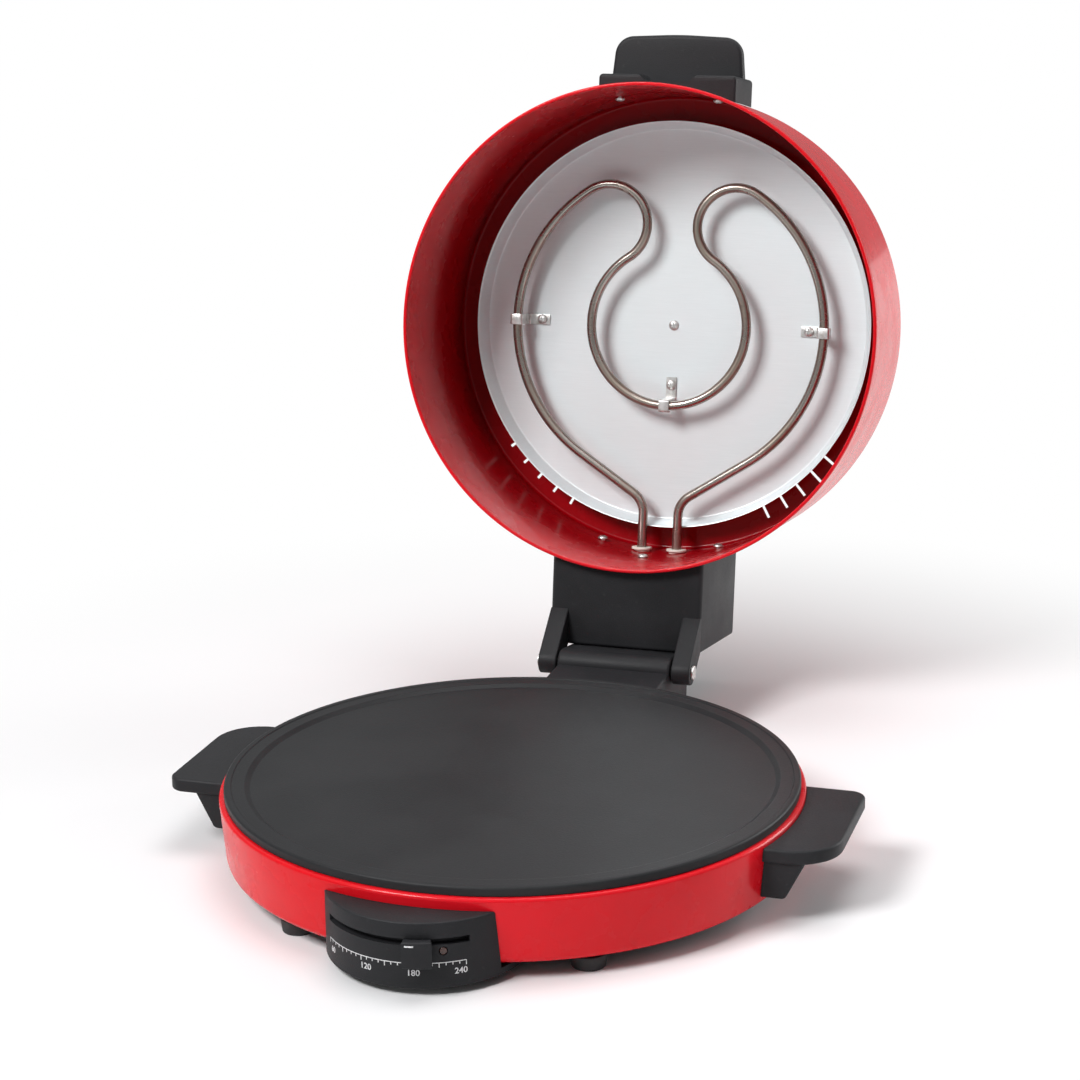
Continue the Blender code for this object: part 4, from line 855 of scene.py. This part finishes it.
def feet():
    """Four turned cones at (r sin a, -r cos a), each bored and counterbored for its screw."""
    corners = [
        (FOOT_COUNTER_R, 0), (FOOT_R, 0), (FOOT_TOP_R, FOOT_H), (FOOT_BORE_R, FOOT_H),
        (FOOT_BORE_R, FOOT_COUNTER_H), (FOOT_COUNTER_R, FOOT_COUNTER_H),
    ]
    outline = rounded(corners, [GAP, 2 * GAP, 2 * GAP, 0, 0, 0], 4)
    for name, turn in (
        ("front_left", -FOOT_ANGLE), ("front_right", FOOT_ANGLE),
        ("rear_right", pi - FOOT_ANGLE), ("rear_left", pi + FOOT_ANGLE),
    ):
        x, y = FOOT_CIRCLE_R * sin(turn), -FOOT_CIRCLE_R * cos(turn)
        place = BASE @ moved((x, y, FLOOR))
        stand_for(lathe("rubber_foot_" + name, outline, place, SMALL_ROUND), "base", "foot_" + name)
        seat = BASE @ Vector((x, y, FLOOR + FOOT_COUNTER_H - GAP))
        screw("foot_screw_" + name, seat, Vector((0, 0, -1)), "base")


def cooking_plate():
    """Raised rim with a small step near its edge, a slope with soft ends, and a flat floor."""
    floor = PLATE_RISE - PLATE_DISH
    body_r = LEDGE_R - GAP
    step = PLATE_LIP_STEP
    corners = [
        (0, PLATE_UNDER), (body_r, PLATE_UNDER), (body_r, GAP), (PLATE_R, GAP),
        (PLATE_R, PLATE_RISE), (PLATE_R - PLATE_LIP_IN, PLATE_RISE),
        (PLATE_R - PLATE_LIP_IN - step, PLATE_RISE - step), (PLATE_LAND_R, PLATE_RISE - step),
        (PLATE_LAND_R - PLATE_SLOPE, floor), (0, floor),
    ]
    radii = [0, 0, 0, 0, PLATE_EDGE_R, step / 2, step / 2, 2 * step, 2 * step, 0]
    plate = lathe("casting", rounded(corners, radii), BASE, 2 * ROUND)
    stand_for(plate, "base", "cooking_plate")


def round_slot(name, low, high, inner_r, outer_r, first, last, place):
    """A curved box on a drum: an outline of two arcs, pushed up Z."""
    outer = arc((0, 0), outer_r, first, last, 48)
    inner = arc((0, 0), inner_r, last, first, 48)
    return pillow(name, np.concatenate([outer, inner]), low, high, 0, place)


def control_housing():
    """A round-edged drum less the shell's inside, with a curved slot and the lens's hole."""
    corners = [(0, DRUM_BOTTOM), (DRUM_R, DRUM_BOTTOM), (DRUM_R, DRUM_TOP), (0, DRUM_TOP)]
    drum = lathe("dial_drum", rounded(corners, [0, DRUM_EDGE, DRUM_EDGE, 0]), DRUM)
    low = SLOT_Z - SLOT_H / 2
    front = -pi / 2 + DIAL_MID
    slot = round_slot(
        "slot", low, low + SLOT_H, DRUM_R - SLOT_DEPTH, DRUM_R + OVERRUN,
        front - DIAL_HALF, front + DIAL_HALF, DRUM,
    )
    way = turned(LAMP_TURN, "Z") @ moved((0, -DRUM_R, LAMP_Z))
    corners = [(0, -LENS_DEPTH), (LENS_R + GAP, -LENS_DEPTH), (LENS_R + GAP, OVERRUN), (0, OVERRUN)]
    lens_hole = lathe("lens_hole", corners, DRUM @ way @ ALONG_Y, SMALL_ROUND)
    inside = shell_space("inside", -SHELL_H - 2 * GAP - COVER_T, OVERRUN)
    carve(drum, ("DIFFERENCE", inside), ("DIFFERENCE", slot), ("DIFFERENCE", lens_hole))
    stand_for(drum, "base", "control_housing")
    corners = [(0, -LENS_DEPTH), (LENS_R, -LENS_DEPTH), (LENS_R, 0), (0, 0)]
    dome = rounded(corners, [0, 0, LENS_R / 3, 0])
    flip = Matrix.Diagonal((1, 1, -1, 1))
    lens = lathe("lens", dome, DRUM @ way @ ALONG_Y @ flip, SMALL_ROUND)
    stand_for(lens, "base", "pilot_lens")


def on_drum(name, flat_points, faces, place, body, radius=DRUM_R):
    """Wraps flat print round the drum: x becomes the angle x / r, y the height."""
    flat = np.array(flat_points, float)
    turn = flat[:, 0] / DRUM_R
    out = radius + flat[:, 2]
    points = np.stack([out * np.sin(turn), -out * np.cos(turn), flat[:, 1]], 1)
    made = solid(name, points, faces, place)
    dress(made, "white_print")
    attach(made, body)
    return made


def print_bar(x0, y0, x1, y1, steps):
    """A thin bar of print as rings of four corners along X."""
    along = np.linspace(x0, x1, steps + 1)
    low, high = PRINT_LIFT, PRINT_T
    rings = [[(x, y0, low), (x, y1, low), (x, y1, high), (x, y0, high)] for x in along]
    last = steps * 4
    faces = grid(steps + 1, 4, False) + [[3, 2, 1, 0], [last, last + 1, last + 2, last + 3]]
    return np.array(rings).reshape(-1, 3), faces


def joined(parts):
    """Several (points, faces) as one."""
    points, faces, first = [], [], 0
    for given, loops in parts:
        points.append(given)
        faces += [[first + k for k in loop] for loop in loops]
        first += len(given)
    return np.concatenate(points), faces


def numeral(text, turn):
    """Plain digits as a flat mesh, centred on their place on the scale."""
    curve = bpy.data.curves.new("numeral", "FONT")
    curve.body = text
    curve.size = NUMERAL_SIZE
    curve.align_x = "CENTER"
    curve.extrude = PRINT_T / 2
    curve.offset = NUMERAL_BOLD
    holder = shown("numeral", curve)
    bpy.context.view_layer.update()
    graph = bpy.context.evaluated_depsgraph_get()
    mesh = bpy.data.meshes.new_from_object(holder.evaluated_get(graph))
    points = np.zeros(len(mesh.vertices) * 3)
    mesh.vertices.foreach_get("co", points)
    points = points.reshape(-1, 3) + (turn * DRUM_R, NUMERAL_Z, PRINT_T / 2)
    faces = [list(face.vertices) for face in mesh.polygons]
    bpy.data.objects.remove(holder)
    return points, faces


def dial_print():
    """The scale's line with its evenly turned ticks, four numerals, and the knob's index."""
    first, last = SCALE_FIRST * DRUM_R, SCALE_LAST * DRUM_R
    parts = [print_bar(first, SCALE_Z - SCALE_W / 2, last, SCALE_Z + SCALE_W / 2, 60)]
    for k in range(TICK_COUNT):
        x = first + (last - first) * k / (TICK_COUNT - 1)
        long = TICK_L if k % TICKS_TO_LONG else TICK_LONG
        parts.append(print_bar(x - SCALE_W / 2, SCALE_Z - long, x + SCALE_W / 2, SCALE_Z, 1))
    on_drum("scale_print", *joined(parts), DRUM, "base")
    digits = [numeral(text, radians(turn)) for text, turn in NUMERALS]
    on_drum("numeral_print", *joined(digits), DRUM, "base")
    face = DRUM_R + KNOB_GAP + KNOB_DEPTH
    x, half = INDEX_TURN * DRUM_R, INDEX_L / 2
    bar = print_bar(x - half, INDEX_Z - SCALE_W, x + half, INDEX_Z + SCALE_W, 6)
    on_drum("index_print", *bar, LEVER, "lever", face - GAP)


def temperature_knob():
    """A ring sector of the drum's curve, w / 2r to each side of the front, pushed up Z."""
    inner, outer = DRUM_R + KNOB_GAP, DRUM_R + KNOB_GAP + KNOB_DEPTH - GAP
    spread = KNOB_W / 2 / outer
    front = -pi / 2
    low, high = SLOT_Z - KNOB_BELOW, SLOT_Z + KNOB_ABOVE
    outline = np.concatenate([
        arc((0, 0), outer, front - spread, front + spread, 12),
        arc((0, 0), inner, front + spread, front - spread, 12),
    ])
    knob = pillow("slider", outline, low, high, KNOB_EDGE, LEVER)
    stand_for(knob, "lever", "temperature_knob")


def side_handle(name, side):
    """The tab with its one wide and one tight corner, its web, cut to the shell's wall."""
    place = BASE @ turned(0 if side > 0 else pi, "Z")
    corners = [
        (HANDLE_ROOT, HANDLE_TIGHT_Y), (HANDLE_OUT, HANDLE_TIGHT_Y),
        (HANDLE_OUT, -HANDLE_WIDE_Y), (HANDLE_ROOT, -HANDLE_WIDE_Y),
    ]
    plan = rounded(corners, [0, HANDLE_TIGHT_R, HANDLE_WIDE_R, 0], 14)
    low = -HANDLE_TOP - HANDLE_T
    handle = pillow("grip_" + name, plan, low, -HANDLE_TOP, HANDLE_EDGE, place, 5)
    middle = -HANDLE_TOP - HANDLE_T / 2
    section = rounded([
        (HANDLE_ROOT, middle), (WEB_UPPER, middle), (WEB_UPPER, low + HANDLE_EDGE),
        (WEB_LOWER, -WEB_BOTTOM), (HANDLE_ROOT, -WEB_BOTTOM),
    ], [0, 0, 0, WEB_TOE_R, 0])
    front, back = WEB_INSET - HANDLE_WIDE_Y, HANDLE_TIGHT_Y - WEB_INSET
    web = pillow("web", section, front, back, HANDLE_EDGE, place @ ALONG_Y)
    seat = shell_space("seat", -SHELL_H - OVERRUN, OVERRUN)
    carve(handle, ("UNION", web), ("DIFFERENCE", seat))
    stand_for(handle, "base", name)


def hinge_bracket():
    """Side view: flat heel, top, a crown round the pin, then the stop the lid leans on."""
    lean = OPEN - pi / 2
    pin = (HINGE_Y, HINGE_Z)
    knuckle = HINGE_Y - BLOCK_OUT - GAP
    end = (
        HINGE_Y + sin(lean) * knuckle + cos(lean) * BRACKET_REACH,
        HINGE_Z + cos(lean) * knuckle - sin(lean) * BRACKET_REACH,
    )
    outline = np.concatenate([
        [(BRACKET_ROOT, FLOOR), (BRACKET_ROOT, -BRACKET_TOP)],
        arc(pin, knuckle, KNUCKLE_START, pi / 2 - lean, 12),
        rounded([pin, end, (end[0] - HEEL_LEAN, FLOOR)], [0, BRACKET_EDGE, 0])[1:],
    ])
    half = BRACKET_HALF
    bracket = pillow("hinge_arm", outline, -half, half, BRACKET_EDGE, BASE @ ALONG_X)
    front = LIP_R + BRACKET_FRONT_WALL
    rear = end[0] - HEEL_LEAN - BRACKET_WALL
    roof = HINGE_Z - PIN_R - GAP - BRACKET_ROOF
    middle, rib, inner = (front + rear) / 2, BRACKET_RIB / 2, half - BRACKET_WALL
    jobs = []
    for y0, y1 in ((front, middle - rib), (middle + rib, rear)):
        for x0, x1 in ((-inner, -rib), (rib, inner)):
            room = box_outline(x0, y0, x1, y1)
            jobs.append(("DIFFERENCE", pillow("room", room, FLOOR - OVERRUN, roof, 0, BASE)))
    jobs.append(("DIFFERENCE", shell_space("seat", FLOOR - OVERRUN, 2 * OVERRUN)))
    stand_for(carve(bracket, *jobs), "base", "hinge_bracket")


def hinge_pin():
    """A rod with a flat head at each end, turned round the hinge's axis."""
    end = BLOCK_HALF + GAP
    tip = end + PIN_HEAD_T
    half = [(0, -tip), (PIN_HEAD_R, -tip), (PIN_HEAD_R, -end), (PIN_R, -end)]
    corners = half + [(r, -z) for r, z in half[::-1]]
    radii = [0, GAP, 0, 0, 0, 0, GAP, 0]
    place = moved(HINGE) @ turned(pi / 2, "Y")
    stand_for(lathe("pin", rounded(corners, radii), place, SMALL_ROUND), "base", "hinge_pin")


def cord_gland():
    """A sleeve with a flange on each side of the rear wall, square to it."""
    near = SHELL_T / 2 + CURVE_SLACK
    far = near + GLAND_FLANGE_T
    corners = [
        (GLAND_BORE_R, -far), (GLAND_FLANGE_R, -far), (GLAND_FLANGE_R, -near), (GLAND_R, -near),
        (GLAND_R, near), (GLAND_FLANGE_R, near), (GLAND_FLANGE_R, far), (GLAND_BORE_R, far),
    ]
    radii = [GAP, 2 * GAP, 0, 0, 0, 0, 2 * GAP, 2 * GAP]
    wall = shell_r(GLAND_Z) - SHELL_T / 2
    way = turned(-GLAND_TURN, "Z") @ moved((0, wall, GLAND_Z))
    turn = turned(-pi / 2, "X")
    gland = lathe("gland", rounded(corners, radii), BASE @ way @ turn, SMALL_ROUND)
    stand_for(gland, "base", "cord_gland")


# Screws: one head with a cross recess, copied to each place

def screw_pattern():
    """A pan head whose crown is a shallow arc, with two crossed grooves cut in."""
    crown = arc((0, HEAD_H - CROWN_R), CROWN_R, CROWN_EDGE, pi / 2, 10)
    outline = np.concatenate([
        [(0, -SCREW_L), (SHANK_R, -SCREW_L), (SHANK_R, 0), (HEAD_R, 0)],
        crown[crown[:, 0] < HEAD_R],
    ])
    pattern = lathe("screw_pattern", outline, Matrix(), SMALL_ROUND)
    jobs = []
    for turn in (0, pi / 2):
        bar = box_outline(-CROSS_L / 2, -CROSS_W / 2, CROSS_L / 2, CROSS_W / 2)
        place = turned(turn, "Z")
        jobs.append(("DIFFERENCE", pillow("groove", bar, HEAD_H - CROSS_DEPTH, OVERRUN, 0, place)))
    mesh = carve(pattern, *jobs).data
    bpy.data.objects.remove(pattern)
    return mesh


SCREW = screw_pattern()


def screw(node, seat, direction, body):
    """A copy of the pattern in place of a node, its head facing along the direction."""
    mesh = SCREW.copy()
    mesh.transform(moved(seat) @ facing(direction))
    stand_for(shown(node + "_head", mesh), body, node)


# Lid pieces

def lid_space(name):
    """The space inside the lid's outer wall, with a gap round it, as a cutter."""
    outline = [
        (0, -OVERRUN), (lid_r(0) + GAP, -OVERRUN), (lid_r(0) + GAP, 0),
        (lid_r(LID_H) + GAP, LID_H), (0, LID_H),
    ]
    return lathe(name, outline, LID)


def lid_screw(node, seat, direction):
    """A screw whose seat and direction are given in the closed lid's frame."""
    screw(node, LID @ Vector(seat), LID.to_3x3() @ Vector(direction), "lid")


def lid_shell():
    """A tapered drum with a thick rim and a flat top, turned round Z, and two fans of vents."""
    corners = [
        (0, LID_H), (LID_TOP_R, LID_H), (lid_r(RIM_H), RIM_H + LID_T), (LID_R, RIM_H), (LID_R, 0),
        (LID_R - RIM_T, 0), (LID_R - RIM_T, RIM_H), (lid_r(0) - LID_T, RIM_H + LID_T),
        (LID_TOP_R - LID_T, LID_H - LID_T), (0, LID_H - LID_T),
    ]
    soft = RIM_ROUND / 3
    radii = [0, LID_BEND_R, soft, soft, RIM_ROUND, RIM_ROUND, soft, soft, LID_BEND_R - LID_T, 0]
    shell = lathe("lid_drum", rounded(corners, radii), LID)
    outline = box_outline(-VENT_W / 2, VENT_IN, VENT_W / 2, VENT_OUT)
    vents = []
    for k in range(VENT_COUNT):
        for side in (-1, 1):
            turn = LID @ turned(side * (VENT_FIRST + k * VENT_STEP), "Z")
            vent = pillow("vent", outline, LID_H - OVERRUN, LID_H + OVERRUN, 0, turn)
            vents.append(("DIFFERENCE", vent))
    drum = stand_for(carve(shell, *vents), "lid", "lid_shell")
    # The lid's enamel carries painted shade, with some heat film, on its inner wall.
    dress(drum, "lid_enamel_painted_shade_and_heat_film")


def lid_reflector():
    """A shallow pan: flat floor, flared wall and a small curl on its rim."""
    middle = REFLECTOR_Z + REFLECTOR_T / 2
    low = middle - REFLECTOR_FLANGE + REFLECTOR_CURL_R
    corners = [(0, middle), (REFLECTOR_FLOOR_R, middle), (REFLECTOR_LIP_R - REFLECTOR_CURL_R, low)]
    path = rounded(corners, [0, REFLECTOR_BEND_R, 0])
    curl = arc((REFLECTOR_LIP_R, low), REFLECTOR_CURL_R, -pi, -pi / 2, 5)[1:]
    section = sheet(np.concatenate([path, curl]), REFLECTOR_T)
    pan = lathe("reflector_pan", section, LID, 2 * ROUND)
    stand_for(pan, "lid", "lid_reflector")
    lid_screw("reflector_screw", (0, 0, REFLECTOR_Z - GAP), (0, 0, -1))


def element_half():
    """Leg, bend, straight run, outer arc, half-circle loop and inner arc of the left half."""
    start = (-UPPER_OUTER_R * sin(UPPER_JOIN), UPPER_OUTER_R * cos(UPPER_JOIN))
    corner_y = start[1] + (-UPPER_LEG_X - start[0]) * tan(UPPER_JOIN)
    corners = [(-UPPER_LEG_X, UPPER_LEG_END), (-UPPER_LEG_X, corner_y), start]
    lead = rounded(corners, [0, UPPER_BEND_R, 0], 12)
    first, last = pi / 2 + UPPER_JOIN, 3 * pi / 2 - UPPER_LOOP
    loop_mid = (UPPER_OUTER_R + UPPER_INNER_R) / 2
    loop_r = (UPPER_OUTER_R - UPPER_INNER_R) / 2
    middle = (loop_mid * cos(last), loop_mid * sin(last))

    def run(centre, radius, start_turn, end_turn):
        steps = max(2, round(abs(end_turn - start_turn) * radius / PATH_STEP))
        return arc(centre, radius, start_turn, end_turn, steps)[1:]

    return np.concatenate([
        lead,
        run((0, 0), UPPER_OUTER_R, first, last),
        run(middle, loop_r, last, last + pi),
        run((0, 0), UPPER_INNER_R, last, pi / 2),
    ])


def upper_element():
    """One tube along the left half of the path and its mirror image."""
    half = element_half()
    path = np.concatenate([half, (half[:-1] * (-1, 1))[::-1]])
    place = LID @ moved((0, 0, UPPER_Z))
    stand_for(tube("sheath", path, UPPER_TUBE_R, place), "lid", "upper_element")


def upper_clips():
    """Bent straps: a foot on the reflector, a rise, a saddle over the tube and a hook."""
    reach = UPPER_TUBE_R + GAP + CLIP_T / 2
    foot = REFLECTOR_Z - GAP - CLIP_T / 2
    saddle = UPPER_Z - UPPER_TUBE_R - GAP - CLIP_T / 2
    for name, ring_r, turn in (
        ("left", UPPER_OUTER_R, pi / 2), ("right", UPPER_OUTER_R, -pi / 2),
        ("middle", UPPER_INNER_R, 0),
    ):
        corners = [
            (ring_r - reach - CLIP_FOOT, foot), (ring_r - reach, foot), (ring_r - reach, saddle),
            (ring_r + reach, saddle), (ring_r + reach, saddle + CLIP_HOOK),
        ]
        path = rounded(corners, [0, CLIP_BEND_R, CLIP_BEND_R, CLIP_BEND_R, 0])
        place = turned(turn, "Z")
        half = CLIP_W / 2
        strap = sheet(path, CLIP_T)
        clip = pillow("strap_" + name, strap, -half, half, GAP / 2, LID @ place @ ALONG_X, 2)
        stand_for(clip, "lid", "upper_clip_" + name)
        seat = place @ Vector((0, ring_r - CLIP_SCREW_SIDE, foot - CLIP_T / 2 - GAP))
        lid_screw("upper_clip_screw_" + name, seat, (0, 0, -1))


def element_bushes():
    """Flanged sleeves round the element's legs where they pass the lid's wall."""
    bore = UPPER_TUBE_R + GAP
    neck = BUSH_L - BUSH_FLANGE_T
    corners = [
        (bore, 0), (BUSH_R, 0), (BUSH_R, neck), (BUSH_FLANGE_R, neck), (BUSH_FLANGE_R, BUSH_L),
        (bore, BUSH_L),
    ]
    outline = rounded(corners, [0, 0, 0, GAP, 2 * GAP, GAP], 4)
    y = chord(UPPER_LEG_X + BUSH_FLANGE_R, lid_r(UPPER_Z) - LID_T) - GAP
    for name, side in (("left", -1), ("right", 1)):
        way = moved((side * UPPER_LEG_X, y + neck, UPPER_Z))
        place = LID @ way @ turned(pi / 2, "X")
        bush = lathe("bush_" + name, outline, place, SMALL_ROUND)
        stand_for(bush, "lid", "element_bush_" + name)


def lid_handle():
    """A block on the lid's wall with a rounded tab above and a recess in its face."""
    front = -GRIP_OUT
    body = box_outline(-GRIP_HALF, front, GRIP_HALF, -GRIP_ROOT)
    body = rounded(body, [GRIP_CORNER_R, GRIP_CORNER_R, 0, 0], 5)
    handle = pillow("lid_grip", body, GRIP_LOW, GRIP_HIGH, GRIP_EDGE, LID)
    end = TAB_BOW - TAB_OUT
    corners = [
        (-TAB_HALF, -GRIP_ROOT), (-TAB_HALF, front), (-TAB_TIP_HALF, end), (0, -TAB_OUT),
        (TAB_TIP_HALF, end), (TAB_HALF, front), (TAB_HALF, -GRIP_ROOT),
    ]
    plan = rounded(corners, [0, 0, TAB_R, TAB_BOW_R, TAB_R, 0, 0], 14)
    tab = pillow("tab", plan, TAB_Z, TAB_Z + TAB_T, TAB_EDGE, LID, 6)
    wide = RECESS_HALF + OVERRUN
    dip = [
        (-wide, front - OVERRUN), (wide, front - OVERRUN), (RECESS_HALF, front),
        (RECESS_FLOOR_HALF, front + RECESS_DEPTH), (-RECESS_FLOOR_HALF, front + RECESS_DEPTH),
        (-RECESS_HALF, front),
    ]
    recess = pillow("recess", dip, GRIP_LOW - OVERRUN, RECESS_HIGH, 0, LID)
    jobs = (("UNION", tab), ("DIFFERENCE", recess), ("DIFFERENCE", lid_space("seat")))
    stand_for(carve(handle, *jobs), "lid", "lid_handle")
    y = chord(GRIP_SCREW_X, lid_r(GRIP_SCREW_Z) - LID_T) - CURVE_SLACK
    for name, x in (("left", -GRIP_SCREW_X), ("right", GRIP_SCREW_X)):
        lid_screw("lid_handle_screw_" + name, (x, -y, GRIP_SCREW_Z), (0, 1, 0))


def lug_outline():
    """The outline round the pin's circle and the block's corner, joined by two tangents."""
    middle = Vector((HINGE_Y, HINGE_Z - RIM_Z))
    front = Vector((LUG_FRONT, BLOCK_LOW))
    rear = Vector((BLOCK_OUT, BLOCK_LOW + LUG_RISE))

    def tangent(point, side):
        away = point - middle
        turn = side * np.arccos(LUG_R / away.length)
        return atan2(away.y, away.x) + turn

    first, last = tangent(front, 1), tangent(rear, -1)
    swing = np.linspace(first, last + 2 * pi, 25)
    ring = np.stack([middle.x + LUG_R * np.cos(swing), middle.y + LUG_R * np.sin(swing)], 1)
    corner = [rear, (LUG_FRONT, BLOCK_LOW + LUG_RISE), front]
    return np.concatenate([ring, np.array([tuple(p) for p in corner])])


def hinge_block():
    """A round-edged box on the lid's wall with two lugs, bored for the pin."""
    body = box_outline(-BLOCK_HALF, BLOCK_LOW, BLOCK_HALF, BLOCK_HIGH)
    body = rounded(body, [BLOCK_CORNER_R] * 4, 5)
    block = pillow("lid_block", body, BLOCK_ROOT, BLOCK_OUT, BLOCK_EDGE, LID @ ALONG_Y)
    jobs = []
    for start in (-BLOCK_HALF, BLOCK_HALF - LUG_T):
        lug = pillow("lug", lug_outline(), start, start + LUG_T, LUG_EDGE, LID @ ALONG_X)
        jobs.append(("UNION", lug))
    bore_r = PIN_R + GAP
    bore = [(0, -BLOCK_OUT), (bore_r, -BLOCK_OUT), (bore_r, BLOCK_OUT), (0, BLOCK_OUT)]
    turn = moved(HINGE) @ turned(pi / 2, "Y")
    jobs.append(("DIFFERENCE", lathe("bore", bore, turn, SMALL_ROUND)))
    jobs.append(("DIFFERENCE", lid_space("seat")))
    stand_for(carve(block, *jobs), "lid", "hinge_block")
    for name, (x, z) in zip(("left", "middle", "right"), BLOCK_SCREWS):
        y = chord(abs(x) + HEAD_R, lid_r(z) - LID_T) - GAP
        lid_screw("hinge_block_screw_" + name, (x, y, z), (0, -1, 0))


def all_pieces():
    """Every piece that is seen from outside, base first."""
    for make in (
        base_shell, bottom_cover, feet, cooking_plate, control_housing, dial_print,
        temperature_knob,
    ):
        make()
    side_handle("right_handle", 1)
    side_handle("left_handle", -1)
    for make in (
        hinge_bracket, hinge_pin, cord_gland, lid_shell, lid_reflector, upper_element, upper_clips,
        element_bushes, lid_handle, hinge_block,
    ):
        make()


def dress_inner_nodes():
    """The pieces inside keep their CAD shapes and get their finishes."""
    for name, node in frame["nodes"].items():
        if not node.hide_render:
            coat(node, SLOTS[name])


# Studio

FLOOR_SIZE = 6.0
FLOOR_FADE = (0.25, 0.62)
LAMPS = (
    ("key", (-0.9, -1.5, 1.8), 0.8, 0.95),
    ("top", (0.2, 0.2, 2.2), 1.2, 0.45),
    ("side", (1.6, 1.3, 0.7), 1.0, 0.55),
)
WORLD_LIGHT = 0.15
MIRRORED_LOW = 0.25
MIRRORED_RISE = (0.22, 0.7)


def studio_floor():
    """A pale floor that turns to plain white away from the object, where it is looked at."""
    half = FLOOR_SIZE / 2
    corners = np.insert(box_outline(-half, -half, half, half), 2, 0, 1)
    floor = solid("studio_floor", corners, [[0, 1, 2, 3]], Matrix())
    paint = Paint("studio_floor", (0.90, 0.90, 0.91), 0.4, specular_ior_level=0.3)
    away = paint.radius(Vector((0, 0, 0))).between(*FLOOR_FADE)
    seen = paint.add("ShaderNodeLightPath", output="Is Camera Ray")
    mirrored = paint.add("ShaderNodeLightPath", output="Is Glossy Ray")
    plain = Value(paint, paint.shader.outputs[0])
    white = paint.add("ShaderNodeEmission")
    both = paint.add("ShaderNodeMixShader", None, {0: away * (seen + mirrored), 1: plain, 2: white})
    paint.feed(paint.tree.nodes["Material Output"].inputs[0], both)
    floor.data.materials.append(paint.material)


def studio_world():
    """Soft light all round. The camera sees plain white, and reflections see a white
    backdrop that dims towards the floor."""
    world = bpy.data.worlds.new("studio")
    world.use_nodes = True
    bpy.context.scene.world = world
    nodes = Nodes(world.node_tree)
    way = nodes.add("ShaderNodeTexCoord", output="Generated")
    height = nodes.split(way, "Z")[0]
    mirror = MIRRORED_LOW + height.between(*MIRRORED_RISE) * (1 - MIRRORED_LOW)
    seen = nodes.add("ShaderNodeLightPath", output="Is Camera Ray")
    mirrored = nodes.add("ShaderNodeLightPath", output="Is Glossy Ray")
    light = WORLD_LIGHT + (mirror - WORLD_LIGHT) * mirrored
    background = nodes.tree.nodes["Background"]
    nodes.feed(background.inputs["Color"], (1, 1, 1, 1))
    nodes.feed(background.inputs["Strength"], light + (1 - light) * seen)


def studio_lamps():
    """Square lamps aimed at the middle: each gives a face turned to it its level of light."""
    for name, place, size, level in LAMPS:
        away = Vector(place) - CAMERA_AIM
        light = bpy.data.lights.new(name, "AREA")
        light.size = size
        light.energy = level * (pi * away.length) ** 2
        shown(name, light).matrix_world = moved(place) @ facing(away)


def studio_camera():
    """The camera's axes from its turn and rise, then rolled about the line of sight."""
    right = Vector((cos(CAMERA_TURN), sin(CAMERA_TURN), 0))
    away = Vector((
        sin(CAMERA_TURN) * cos(CAMERA_RISE), -cos(CAMERA_TURN) * cos(CAMERA_RISE), sin(CAMERA_RISE),
    ))
    up = away.cross(right)
    side = right * cos(CAMERA_ROLL) + up * sin(CAMERA_ROLL)
    head = up * cos(CAMERA_ROLL) - right * sin(CAMERA_ROLL)
    camera = bpy.data.cameras.new("camera")
    camera.sensor_width = SENSOR_MM
    camera.lens = SENSOR_MM * CAMERA_FOCAL_PX / PHOTO_PX
    made = shown("camera", camera)
    turn = Matrix((side, head, away)).transposed().to_4x4()
    made.matrix_world = moved(CAMERA_AIM + away * CAMERA_AWAY) @ turn
    bpy.context.scene.camera = made


studio_camera()
studio_world()
studio_lamps()
studio_floor()
all_pieces()
dress_inner_nodes()
bpy.context.scene.view_settings.view_transform = "Standard"
